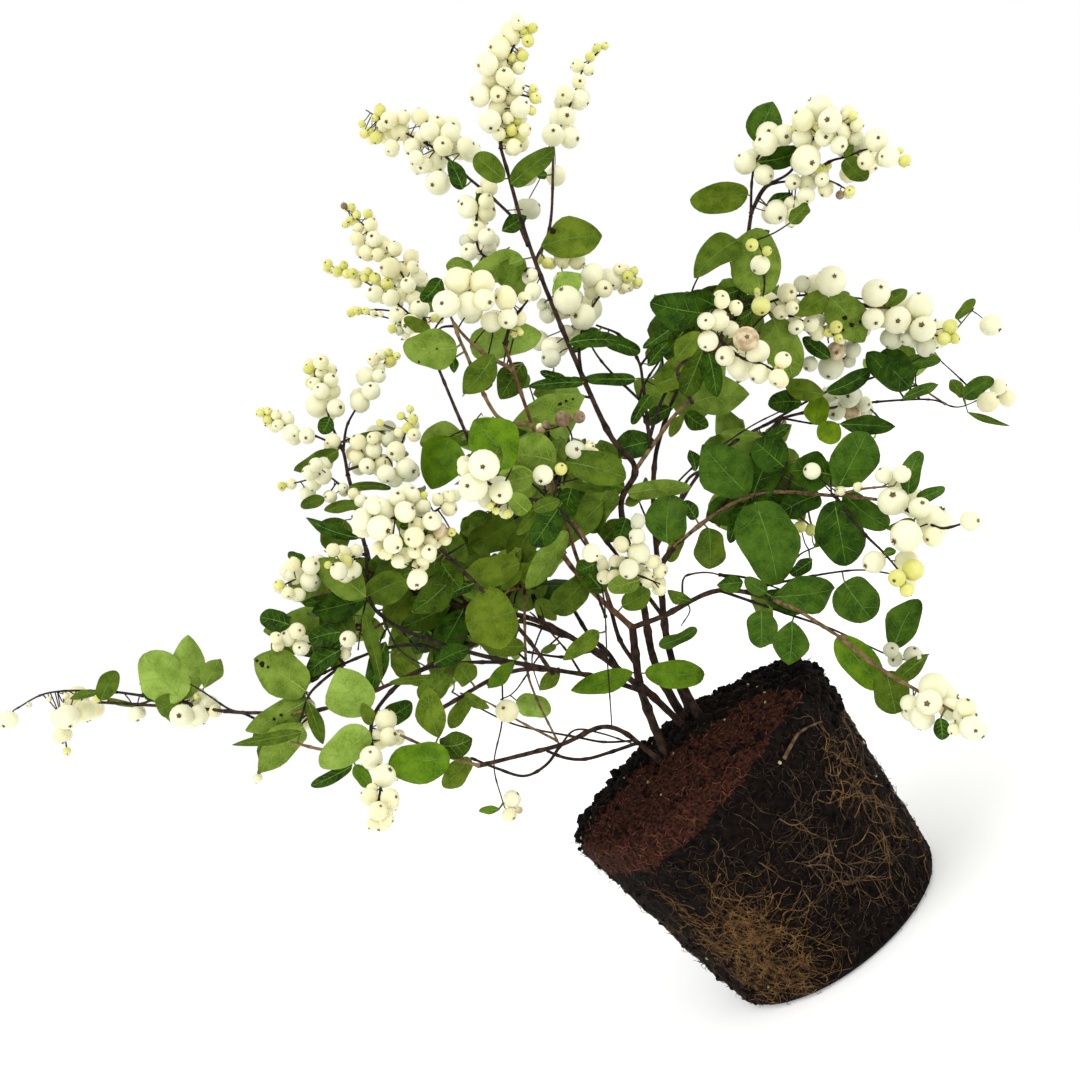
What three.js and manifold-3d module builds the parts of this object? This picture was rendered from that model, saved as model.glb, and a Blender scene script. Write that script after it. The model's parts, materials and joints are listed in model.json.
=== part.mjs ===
import * as THREE from 'three';
import { mergeVertices } from 'three/addons/utils/BufferGeometryUtils.js';
import Module from 'manifold-3d';

const wasm = await Module();
wasm.setup();

// Sizes in millimetres. The origin is the centre of the root ball's flat underside, +Z up its axis.
// Places along limbs and sprays are measured from the centre of the ball's rim.

// Root ball: a plain cone left by a 150 mm growing pot, with a crumbly domed top.
const BALL_BASE_RADIUS = 57;
const BALL_RIM_RADIUS = 71;
const BALL_RIM_HEIGHT = 102;
const BALL_DOME_RISE = 12;
const BALL_BASE_ROUNDING = 3;
const BALL_RIM_ROUNDING = 4;
const BALL_LUMPS = 1.1;
const CRUMB_LUMPS = 1.6;
const BALL_LUMP_SCALE = 0.055;
const WALL_STEPS = 6;
const DOME_STEPS = 6;
const BALL_SIDES = 20;

// Width of the joint left open between neighbours.
const GAP = 0.3;

// Limb sections, and how much wider a stem is at its foot than just above it.
const LIMB_SIDES = 6;
const RING_SPACING = 24;
const ROOT_FLARE = 1.5;
const FLARE_HEIGHT = 0.12;

// Roughness of a spray's outline as a share of its half width.
const SPRAY_LUMPS = 0.24;

// Sprays narrower than this are facetted more coarsely.
const SMALL_SPRAY = 18.5;

// Colours of bark, soil, foliage and fruit.
const COLOURS = {
  soil: '#2b1c16',
  bark: '#3d2b20',
  twig: '#6a5336',
  leaf: '#4c7a2b',
  mixed: '#8aa268',
  fruit: '#e8e5cf',
};

// Stems and boughs. Each runs along its way from foot to tip and tapers from one radius to the other.
// "from" names what it leaves, "into" the sprays it ends in.
const LIMBS = {
  stem_leader: {
    from: ['root_ball'],
    way: [
      [2, 4, 7], [8, 5, 42], [23, 10, 71], [41, 10, 110],
      [58, 10, 121], [59, 5, 147], [80, 0, 226], [99, -5, 276],
    ],
    radii: [2.9, 1.0],
    flare: true,
    into: ['spray_top_spike'],
  },
  stem_rear: {
    from: ['root_ball'],
    way: [[6, 18, 7], [16, 26, 37], [45, 38, 84], [67, 45, 113], [88, 55, 130], [130, 60, 154]],
    radii: [2.5, 1.2],
    flare: true,
    into: ['spray_shoulder'],
  },
  stem_right: {
    from: ['root_ball'],
    way: [
      [8, -10, 7], [15, -12, 41], [29, -16, 67], [43, -21, 81], [85, -30, 80], [111, -50, 59], [118, -82, 49],
    ],
    radii: [2.6, 1.1],
    flare: true,
    into: ['spray_right_berries'],
  },
  stem_left: {
    from: ['root_ball'],
    way: [[-14, -20, 7], [-9, -16, 26], [-3, -10, 42], [10, -10, 64]],
    radii: [3.0, 2.2],
    flare: true,
  },
  stem_brace: {
    from: ['root_ball', 'stem_left', 'stem_leader', 'stem_right'],
    way: [[1, -3, 7], [0, -5, 19], [-3, -10, 40]],
    radii: [2.4, 2.0],
    flare: true,
  },
  bough_centre: {
    from: ['stem_left'],
    way: [[10, -10, 64], [6, -10, 88], [6, 0, 112], [14, 12, 130]],
    radii: [1.9, 1.3],
    into: ['spray_centre_leaves'],
  },
  bough_low_right: {
    from: ['stem_left', 'bough_centre', 'stem_right'],
    way: [[10, -10, 64], [24, -26, 61], [50, -30, 55], [68, -48, 39], [75, -76, 19]],
    radii: [1.8, 1.1],
    into: ['spray_hanging_tip'],
  },
  bough_left_mid: {
    from: ['stem_left', 'stem_brace'],
    way: [[-4, -10, 40], [-11, 0, 66], [-26, 5, 97], [-58, 15, 132], [-72, 20, 156], [-54, 32, 206]],
    radii: [2.1, 1.2],
    into: ['spray_left_tops'],
  },
  bough_left_low: {
    from: ['stem_left', 'stem_brace', 'bough_left_mid'],
    way: [[-5, -12, 40], [-20, -24, 62], [-42, -48, 84], [-72, -80, 92]],
    radii: [1.7, 1.0],
    into: ['spray_low_left_front'],
  },
  bough_arch: {
    from: ['root_ball', 'stem_left'],
    way: [[-16, -24, 7], [-24, -38, 35], [-45, -60, 46], [-72, -84, 64]],
    radii: [1.7, 1.0],
    flare: true,
    into: ['spray_low_left_front'],
  },
  bough_far_left: {
    from: ['bough_left_mid'],
    way: [
      [-26, 5, 97], [-72, -14, 107], [-118, -24, 120], [-150, -14, 140], [-176, 4, 160], [-216, 20, 192],
    ],
    radii: [1.4, 0.9],
    into: ['spray_far_tip'],
  },
  bough_mid_low: {
    from: ['bough_left_mid'],
    way: [[-58, 15, 132], [-78, 28, 136], [-98, 38, 140]],
    radii: [1.2, 0.9],
    into: ['spray_mid_low'],
  },
  bough_upper_left: {
    from: ['bough_left_mid', 'bough_centre', 'stem_leader'],
    way: [[-22, 4, 90], [-8, 36, 134], [6, 66, 194], [20, 92, 248]],
    radii: [1.6, 1.0],
    into: ['spray_upper_left'],
  },
  bough_shoulder: {
    from: ['stem_leader'],
    way: [[57, 10, 120], [84, 15, 128], [111, 20, 135], [150, 20, 157], [172, 0, 180]],
    radii: [1.8, 1.1],
    into: ['spray_top_right'],
  },
  bough_shoulder_front: {
    from: ['bough_shoulder'],
    way: [[100, 18, 129], [98, -20, 144], [106, -84, 136]],
    radii: [1.3, 0.9],
    into: ['spray_shoulder_front'],
  },
  bough_top_left: {
    from: ['stem_leader'],
    way: [[82, 0, 234], [88, 24, 256], [86, 52, 298]],
    radii: [1.2, 0.9],
    into: ['spray_top_left'],
  },
  bough_second: {
    from: ['stem_leader'],
    way: [[80, 0, 226], [100, 18, 240], [130, 38, 276]],
    radii: [1.1, 0.8],
    into: ['spray_second_spike'],
  },
  bough_upper_right: {
    from: ['stem_leader'],
    way: [[63, 5, 168], [72, 8, 182], [84, 10, 192]],
    radii: [1.2, 0.9],
    into: ['spray_upper_right'],
  },
  bough_front_upper: {
    from: ['bough_centre', 'bough_centre_front'],
    way: [[6, -8, 94], [16, -34, 124], [28, -62, 160], [38, -82, 190]],
    radii: [1.5, 1.0],
    into: ['spray_front_upper'],
  },
  bough_centre_front: {
    from: ['bough_centre', 'stem_left'],
    way: [[8, -10, 76], [14, -40, 98], [16, -80, 112], [14, -116, 128]],
    radii: [1.4, 0.9],
    into: ['spray_centre_front'],
  },
  bough_big_left: {
    from: ['bough_left_low', 'bough_left_mid', 'stem_left'],
    way: [[-30, -34, 72], [-28, -64, 100], [-31, -114, 152]],
    radii: [1.3, 0.9],
    into: ['spray_big_left'],
  },
  bough_right_upper: {
    from: ['bough_shoulder'],
    way: [[111, 20, 135], [140, 30, 140], [172, 42, 124]],
    radii: [1.2, 0.9],
    into: ['spray_right_upper'],
  },
  bough_right_outer: {
    from: ['stem_rear', 'stem_leader'],
    way: [[45, 38, 84], [92, 56, 100], [140, 84, 96], [186, 108, 76]],
    radii: [1.4, 0.9],
    into: ['spray_right_outer'],
  },
  bough_back_right: {
    from: ['bough_right_outer', 'stem_rear'],
    way: [[66, 46, 92], [86, 84, 100], [112, 116, 94]],
    radii: [1.3, 0.9],
    into: ['spray_back_right'],
  },
  bough_back_centre: {
    from: ['stem_rear', 'stem_leader'],
    way: [[26, 30, 56], [28, 62, 108], [26, 96, 154], [22, 122, 180]],
    radii: [1.5, 1.0],
    into: ['spray_back_centre'],
  },
  bough_back_left: {
    from: ['bough_left_mid', 'bough_centre'],
    way: [[-18, 3, 80], [-30, 44, 94], [-50, 84, 110]],
    radii: [1.4, 0.9],
    into: ['spray_back_left'],
  },
};

// Sprays of leaves and fruit: foot, tip, half width and half depth, what each mostly carries, and how much
// narrower it gets towards its tip.
const SPRAYS = {
  spray_top_spike: { foot: [92, -4, 260], tip: [141, -15, 321], half: [18, 18], kind: 'fruit', taper: 0.3 },
  spray_second_spike: { foot: [122, 36, 268], tip: [188, 56, 311], half: [9, 10], kind: 'fruit', taper: 0.3 },
  spray_top_left: { foot: [94, 46, 280], tip: [64, 72, 364], half: [16, 18], kind: 'fruit', taper: 0.3 },
  spray_leader_collar: { foot: [68, 58, 288], tip: [112, -22, 212], half: [19, 24], kind: 'mixed' },
  spray_upper_left: { foot: [18, 92, 244], tip: [26, 142, 359], half: [26, 26], kind: 'fruit', taper: 0.25 },
  spray_front_upper: { foot: [64, -80, 192], tip: [4, -92, 218], half: [22, 24], kind: 'mixed' },
  spray_upper_right: { foot: [66, 8, 196], tip: [124, 18, 196], half: [20, 22], kind: 'mixed', taper: 0.2 },
  spray_top_right: { foot: [154, -10, 200], tip: [236, -42, 160], half: [27, 30], kind: 'mixed' },
  spray_shoulder: { foot: [106, 58, 134], tip: [190, 66, 188], half: [26, 28], kind: 'leaf' },
  spray_shoulder_front: { foot: [102, -86, 158], tip: [116, -94, 100], half: [15, 16], kind: 'fruit' },
  spray_right_upper: { foot: [162, 46, 140], tip: [253, 30, 71], half: [23, 28], kind: 'mixed' },
  spray_right_outer: { foot: [180, 104, 82], tip: [266, 122, 18], half: [16, 20], kind: 'mixed', taper: 0.25 },
  spray_left_tops: { foot: [-60, 26, 188], tip: [-18, 52, 264], half: [26, 26], kind: 'mixed' },
  spray_left_side: { foot: [-64, 32, 216], tip: [-76, 44, 270], half: [12, 14], kind: 'fruit', taper: 0.3 },
  spray_big_left: { foot: [-14, -112, 144], tip: [-54, -122, 170], half: [20, 22], kind: 'fruit' },
  spray_left_low: { foot: [-58, 12, 154], tip: [-110, -22, 180], half: [15, 18], kind: 'mixed' },
  spray_centre_front: { foot: [26, -116, 124], tip: [-16, -152, 166], half: [20, 22], kind: 'mixed' },
  spray_centre_leaves: { foot: [44, 24, 128], tip: [-6, 52, 206], half: [28, 32], kind: 'leaf' },
  spray_mid_left: { foot: [0, 4, 88], tip: [-80, 6, 144], half: [27, 34], kind: 'leaf' },
  spray_low_centre: { foot: [4, -58, 98], tip: [58, -62, 86], half: [19, 22], kind: 'mixed' },
  spray_right_leaves: { foot: [60, -42, 100], tip: [128, -56, 50], half: [32, 30], kind: 'leaf' },
  spray_right_berries: { foot: [100, -92, 64], tip: [136, -106, 20], half: [23, 24], kind: 'mixed' },
  spray_right_low: { foot: [54, -32, 52], tip: [96, -46, 4], half: [17, 20], kind: 'leaf' },
  spray_hanging_tip: { foot: [70, -80, 26], tip: [88, -110, -40], half: [17, 20], kind: 'mixed' },
  spray_low_left: { foot: [-152, -24, 94], tip: [-112, -18, 168], half: [24, 28], kind: 'leaf' },
  spray_low_left_front: { foot: [-64, -92, 72], tip: [-112, -114, 108], half: [28, 30], kind: 'mixed' },
  spray_far_leaves: { foot: [-156, 0, 146], tip: [-192, 20, 200], half: [20, 22], kind: 'leaf' },
  spray_far_tip: { foot: [-194, 12, 176], tip: [-268, 36, 220], half: [12, 14], kind: 'mixed', taper: 0.35 },
  spray_mid_low: { foot: [-92, 36, 134], tip: [-142, 62, 178], half: [15, 20], kind: 'mixed' },
  spray_back_right: { foot: [100, 112, 100], tip: [158, 152, 76], half: [26, 26], kind: 'mixed' },
  spray_back_centre: { foot: [32, 118, 166], tip: [-4, 162, 210], half: [30, 28], kind: 'mixed' },
  spray_back_left: { foot: [-36, 78, 100], tip: [-86, 130, 130], half: [28, 28], kind: 'leaf' },
};

// A place measured from the centre of the ball's rim.
function place([x, y, z]) {
  return new THREE.Vector3(x, y, z + BALL_RIM_HEIGHT);
}

// Smooth bumps between -1 and 1 over a direction or place, different for every phase.
function bumps(point, phase) {
  const first = Math.sin(2.1 * point.x + 1.3 * point.y + 1.9 * phase);
  const second = Math.sin(2.7 * point.y - 1.7 * point.z + 2.3 * phase);
  const third = Math.sin(3.1 * point.z + 2.2 * point.x + 3.7 * phase);
  return (first + second + third) / 3;
}

// Moves every vertex of a geometry by a rule.
function reshape(geometry, rule) {
  const position = geometry.attributes.position;
  const point = new THREE.Vector3();
  for (let i = 0; i < position.count; i += 1) {
    point.fromBufferAttribute(position, i);
    rule(point);
    position.setXYZ(i, point.x, point.y, point.z);
  }
  return geometry;
}

// A geometry with its doubled vertices welded, as a solid that can be cut.
function toSolid(geometry) {
  const bare = new THREE.BufferGeometry();
  bare.setAttribute('position', geometry.attributes.position);
  if (geometry.index) bare.setIndex(geometry.index);
  const welded = mergeVertices(bare, 1e-4);
  return new wasm.Manifold(new wasm.Mesh({
    numProp: 3,
    vertProperties: new Float32Array(welded.attributes.position.array),
    triVerts: new Uint32Array(welded.index.array),
  }));
}

// A cut solid as a named mesh with a material of its own.
function toMesh(name, solid, colour, roughness) {
  const cut = solid.getMesh();
  const geometry = new THREE.BufferGeometry();
  geometry.setAttribute('position', new THREE.BufferAttribute(new Float32Array(cut.vertProperties), 3));
  geometry.setIndex(new THREE.BufferAttribute(new Uint32Array(cut.triVerts), 1));
  geometry.computeVertexNormals();
  const material = new THREE.MeshStandardMaterial({ color: colour, roughness, metalness: 0 });
  const mesh = new THREE.Mesh(geometry, material);
  mesh.name = name;
  return mesh;
}

// The largest single piece of a cut solid.
function mainPiece(solid) {
  const pieces = solid.decompose();
  return pieces.reduce((best, piece) => (piece.volume() > best.volume() ? piece : best));
}

// The root ball: turned side, rounded bottom edge, lumpy wall and a domed, crumbly top.
function rootBall(grow = 0) {
  const flatRadius = BALL_BASE_RADIUS - BALL_BASE_ROUNDING + grow;
  const profile = [new THREE.Vector2(0, 0), new THREE.Vector2(flatRadius, 0)];
  for (let i = 0; i <= WALL_STEPS; i += 1) {
    const share = i / WALL_STEPS;
    const height = BALL_BASE_ROUNDING + share * (BALL_RIM_HEIGHT - BALL_BASE_ROUNDING - BALL_RIM_ROUNDING);
    const radius = BALL_BASE_RADIUS + (BALL_RIM_RADIUS - BALL_BASE_RADIUS) * (height / BALL_RIM_HEIGHT);
    profile.push(new THREE.Vector2(radius + grow, height));
  }
  for (let i = 0; i < DOME_STEPS; i += 1) {
    const share = i / DOME_STEPS;
    const radius = (BALL_RIM_RADIUS - BALL_RIM_ROUNDING / 2) * (1 - share) + grow;
    const height = BALL_RIM_HEIGHT + BALL_DOME_RISE * (1 - (1 - share) ** 2) + grow;
    profile.push(new THREE.Vector2(radius, height));
  }
  profile.push(new THREE.Vector2(0, BALL_RIM_HEIGHT + BALL_DOME_RISE + grow));
  const turned = new THREE.LatheGeometry(profile, BALL_SIDES);
  turned.rotateX(Math.PI / 2);
  reshape(turned, (point) => {
    if (point.z < 1) return;
    const flat = Math.hypot(point.x, point.y);
    const spot = point.clone().multiplyScalar(BALL_LUMP_SCALE);
    const lump = BALL_LUMPS * bumps(spot, 4);
    if (flat > 1) {
      point.x += (lump * point.x) / flat;
      point.y += (lump * point.y) / flat;
    }
    if (point.z > BALL_RIM_HEIGHT - 1) point.z += CRUMB_LUMPS * bumps(spot, 7);
  });
  return toSolid(turned);
}

// Where the rings of a limb sit: every place along its way, and evenly between far ones.
function ringPlaces(line) {
  const spans = line.points.length - 1;
  const places = [0];
  for (let span = 0; span < spans; span += 1) {
    const reach = line.points[span].distanceTo(line.points[span + 1]);
    const steps = Math.max(1, Math.round(reach / RING_SPACING));
    for (let step = 1; step <= steps; step += 1) places.push((span + step / steps) / spans);
  }
  return places;
}

// A tapering limb bent smoothly along its way; a stem's foot widens into a root flare.
function limb({ way, radii, flare }, grow = 0) {
  const line = new THREE.CatmullRomCurve3(way.map(place), false, 'centripetal');
  const places = ringPlaces(line);
  const rings = places.map((share) => ({ centre: line.getPoint(share), ahead: line.getTangent(share) }));
  rings[0].centre.addScaledVector(rings[0].ahead, -grow);
  rings.at(-1).centre.addScaledVector(rings.at(-1).ahead, grow);
  let across = new THREE.Vector3(0, 1, 0).cross(rings[0].ahead);
  for (const ring of rings) {
    across.addScaledVector(ring.ahead, -across.dot(ring.ahead)).normalize();
    ring.across = across.clone();
    ring.beside = new THREE.Vector3().crossVectors(ring.across, ring.ahead);
  }
  const last = rings.length - 1;
  const rod = new THREE.CylinderGeometry(1, 1, 1, LIMB_SIDES, last);
  reshape(rod, (point) => {
    const index = Math.round((point.y + 0.5) * last);
    const share = places[index];
    const widening = flare ? 1 + (ROOT_FLARE - 1) * Math.max(0, 1 - share / FLARE_HEIGHT) : 1;
    const radius = THREE.MathUtils.lerp(radii[0], radii[1], share) * widening + grow;
    const { centre, across: side, beside } = rings[index];
    const offset = side.clone().multiplyScalar(point.x * radius).addScaledVector(beside, point.z * radius);
    point.copy(centre).add(offset);
  });
  return toSolid(rod);
}

// A closed, uneven spray, long from foot to tip and narrower towards the tip where it says so.
function spray({ foot, tip, half, taper = 0 }, phase, grow = 0) {
  const detail = half[0] < SMALL_SPRAY ? 1 : 2;
  const start = place(foot);
  const end = place(tip);
  const middle = start.clone().add(end).multiplyScalar(0.5);
  const axis = end.clone().sub(start);
  const halfLength = axis.length() / 2;
  axis.normalize();
  const depth = new THREE.Vector3(0, 1, 0);
  depth.addScaledVector(axis, -depth.dot(axis)).normalize();
  const width = new THREE.Vector3().crossVectors(axis, depth);
  const ball = new THREE.IcosahedronGeometry(1, detail);
  reshape(ball, (point) => {
    const lump = 1 + SPRAY_LUMPS * bumps(point, phase);
    const narrow = 1 - taper * point.y;
    const side = point.x * (half[0] * lump * narrow + grow);
    const long = point.y * (halfLength * (1 + 0.3 * (lump - 1)) + grow);
    const deep = point.z * (half[1] * lump * narrow + grow);
    point.copy(middle).addScaledVector(width, side);
    point.addScaledVector(axis, long).addScaledVector(depth, deep);
  });
  return toSolid(ball);
}

// Whether the boxes round two solids meet.
function near(one, other) {
  const a = one.boundingBox();
  const b = other.boundingBox();
  return [0, 1, 2].every((k) => a.min[k] <= b.max[k] && b.min[k] <= a.max[k]);
}

const group = new THREE.Group();
group.name = 'snowberry';

// Every solid once more, grown by the gap, to cut its neighbours with.
const phases = Object.fromEntries(Object.keys(SPRAYS).map((name, i) => [name, i + 1]));
const raised = { root_ball: rootBall(GAP) };
for (const [name, plan] of Object.entries(LIMBS)) raised[name] = limb(plan, GAP);
for (const [name, plan] of Object.entries(SPRAYS)) raised[name] = spray(plan, phases[name], GAP);

group.add(toMesh('root_ball', rootBall(), COLOURS.soil, 0.95));

// Limbs, cut back from what they leave and from the spray they enter.
const limbsMade = [];
for (const [name, plan] of Object.entries(LIMBS)) {
  let solid = limb(plan);
  const passed = limbsMade.filter((made) => !plan.from.includes(made));
  const others = [...plan.from, ...(plan.into ?? []), ...passed];
  for (const other of others) {
    if (near(solid, raised[other])) solid = mainPiece(solid.subtract(raised[other]));
  }
  limbsMade.push(name);
  const colour = name.startsWith('stem') ? COLOURS.bark : COLOURS.twig;
  group.add(toMesh(name, solid, colour, 0.85));
}

// Sprays, cut round the limbs that run through them and round earlier sprays.
const spraysMade = [];
for (const [name, plan] of Object.entries(SPRAYS)) {
  let solid = spray(plan, phases[name]);
  const ending = Object.keys(LIMBS).filter((other) => (LIMBS[other].into ?? []).includes(name));
  const passing = Object.keys(LIMBS).filter((other) => !ending.includes(other));
  for (const other of ['root_ball', ...passing, ...spraysMade]) {
    if (near(solid, raised[other])) solid = mainPiece(solid.subtract(raised[other]));
  }
  spraysMade.push(name);
  group.add(toMesh(name, solid, COLOURS[plan.kind], 0.7));
}

export default group;
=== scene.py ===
import json
import math

import bpy
import numpy as np
from mathutils import Matrix, Vector, noise


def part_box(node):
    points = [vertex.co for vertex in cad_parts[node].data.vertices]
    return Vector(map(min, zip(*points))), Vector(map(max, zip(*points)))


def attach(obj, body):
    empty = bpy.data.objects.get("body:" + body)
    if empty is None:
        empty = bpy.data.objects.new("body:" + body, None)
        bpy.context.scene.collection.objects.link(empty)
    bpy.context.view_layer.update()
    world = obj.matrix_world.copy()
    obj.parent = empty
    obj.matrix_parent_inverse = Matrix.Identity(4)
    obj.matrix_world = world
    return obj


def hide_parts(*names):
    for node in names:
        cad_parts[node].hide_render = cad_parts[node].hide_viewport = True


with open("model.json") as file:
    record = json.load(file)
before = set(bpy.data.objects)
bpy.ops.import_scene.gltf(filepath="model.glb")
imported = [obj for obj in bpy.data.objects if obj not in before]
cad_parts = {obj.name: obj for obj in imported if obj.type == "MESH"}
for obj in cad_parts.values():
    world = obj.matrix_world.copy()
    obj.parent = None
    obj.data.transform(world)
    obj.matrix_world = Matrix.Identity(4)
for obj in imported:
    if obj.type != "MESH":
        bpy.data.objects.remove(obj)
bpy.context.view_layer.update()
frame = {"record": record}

# Lengths are millimetres until a piece is made; pixels are those of the 1080 x 1080 reference view.
MM = 0.001
RIM = 102.0
UP = np.array([0.0, 0.0, 1.0])
rng = np.random.default_rng(7)

# The reference view: how far the camera rolls and dips, its distance, and the pixel where one point
# of the ball shows.
FRAME_PX = 1080
FOCAL_PX = 1150.0
SENSOR = 36.0
ROLL = math.radians(38)
DIP = math.radians(-1)
DISTANCE = 560.0
AIM = np.array([0.0, 0.0, 54.5])
AIM_PX = (762, 829)


def view_axes():
    """Rows are the camera's right, up and backward directions in the part's frame."""
    axis = np.array([-math.sin(ROLL) * math.cos(DIP), math.cos(ROLL) * math.cos(DIP), math.sin(DIP)])
    x = np.cross(axis, UP)
    x /= np.linalg.norm(x)
    return np.stack([x, np.cross(axis, x), axis], 1)


def pixel_ray(x, y):
    """Direction seen at a pixel, in camera coordinates."""
    half = FRAME_PX / 2
    return np.array([(x - half) / FOCAL_PX, (half - y) / FOCAL_PX, -1.0])


AXES = view_axes()
AIM_RAY = pixel_ray(*AIM_PX)
EYE = AIM - AXES.T @ (AIM_RAY / np.linalg.norm(AIM_RAY) * DISTANCE)


def seen(x, y, depth):
    """The place seen at a pixel, on the plane that lies depth behind the ball's axis."""
    ray = AXES.T @ pixel_ray(x, y)
    return EYE + ray * (depth - EYE[1]) / ray[1]


def pixels(points):
    """Where places show in the reference view."""
    rel = (np.atleast_2d(points) - EYE) @ AXES.T
    half = FRAME_PX / 2
    return np.stack([half + FOCAL_PX * rel[:, 0] / -rel[:, 2], half - FOCAL_PX * rel[:, 1] / -rel[:, 2]], 1)


def mm_per_px(point):
    """How many millimetres one pixel covers at a place."""
    rel = (np.asarray(point) - EYE) @ AXES.T
    return -rel[2] / FOCAL_PX


def unit(v):
    """A direction at length one."""
    return v / max(np.linalg.norm(v), 1e-9)


# Limbs, as the solids have them: places from the rim's centre, and the radius at foot and tip.
LIMBS = {
    "stem_leader": ([(2, 4, 7), (8, 5, 42), (23, 10, 71), (41, 10, 110), (58, 10, 121), (59, 5, 147),
        (80, 0, 226), (99, -5, 276)], 2.9, 1.0),
    "stem_rear": ([(6, 18, 7), (16, 26, 37), (45, 38, 84), (67, 45, 113), (88, 55, 130), (130, 60, 154)],
        2.5, 1.2),
    "stem_right": ([(8, -10, 7), (15, -12, 41), (29, -16, 67), (43, -21, 81), (85, -30, 80), (111, -50, 59),
        (118, -82, 49)], 2.6, 1.1),
    "stem_left": ([(-14, -20, 7), (-9, -16, 26), (-3, -10, 42), (10, -10, 64)], 3.0, 2.2),
    "stem_brace": ([(1, -3, 7), (0, -5, 19), (-3, -10, 40)], 2.4, 2.0),
    "bough_centre": ([(10, -10, 64), (6, -10, 88), (6, 0, 112), (14, 12, 130)], 1.9, 1.3),
    "bough_low_right": ([(10, -10, 64), (24, -26, 61), (50, -30, 55), (66, -48, 36), (72, -76, 16)], 1.8,
        1.1),
    "bough_left_mid": ([(-4, -10, 40), (-11, 0, 66), (-26, 5, 97), (-58, 15, 132), (-72, 20, 156),
        (-54, 32, 206)], 2.1, 1.2),
    "bough_left_low": ([(-5, -12, 40), (-20, -24, 62), (-42, -48, 84), (-72, -80, 92)], 1.7, 1.0),
    "bough_arch": ([(-16, -24, 7), (-24, -38, 38), (-45, -60, 49), (-72, -84, 65)], 1.7, 1.0),
    "bough_far_left": ([(-26, 5, 97), (-72, -14, 107), (-118, -24, 120), (-150, -14, 140), (-176, 4, 160),
        (-216, 20, 192)], 1.4, 0.9),
    "bough_mid_low": ([(-58, 15, 132), (-78, 28, 136), (-98, 38, 140)], 1.2, 0.9),
    "bough_upper_left": ([(-22, 4, 90), (-8, 36, 134), (6, 66, 194), (20, 92, 248)], 1.6, 1.0),
    "bough_shoulder": ([(57, 10, 120), (84, 15, 128), (111, 20, 135), (150, 20, 157), (172, 0, 180)], 1.8,
        1.1),
    "bough_shoulder_front": ([(100, 18, 129), (98, -20, 144), (106, -84, 136)], 1.3, 0.9),
    "bough_top_left": ([(82, 0, 234), (88, 24, 256), (86, 52, 298)], 1.2, 0.9),
    "bough_second": ([(80, 0, 226), (100, 18, 240), (130, 38, 276)], 1.1, 0.8),
    "bough_upper_right": ([(63, 5, 168), (72, 8, 182), (84, 10, 192)], 1.2, 0.9),
    "bough_front_upper": ([(6, -8, 94), (16, -34, 124), (28, -62, 160), (38, -82, 190)], 1.5, 1.0),
    "bough_centre_front": ([(8, -10, 76), (14, -40, 98), (16, -80, 112), (14, -116, 128)], 1.4, 0.9),
    "bough_big_left": ([(-30, -34, 72), (-28, -64, 100), (-31, -114, 152)], 1.3, 0.9),
    "bough_right_upper": ([(111, 20, 135), (140, 30, 140), (172, 42, 124)], 1.2, 0.9),
    "bough_right_outer": ([(45, 38, 84), (92, 56, 100), (140, 84, 96), (186, 108, 76)], 1.4, 0.9),
    "bough_back_right": ([(66, 46, 92), (86, 84, 100), (112, 116, 94)], 1.3, 0.9),
    "bough_back_centre": ([(26, 30, 56), (28, 62, 108), (26, 96, 154), (22, 122, 180)], 1.5, 1.0),
    "bough_back_left": ([(-18, 3, 80), (-30, 44, 94), (-50, 84, 110)], 1.4, 0.9),
}

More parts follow.
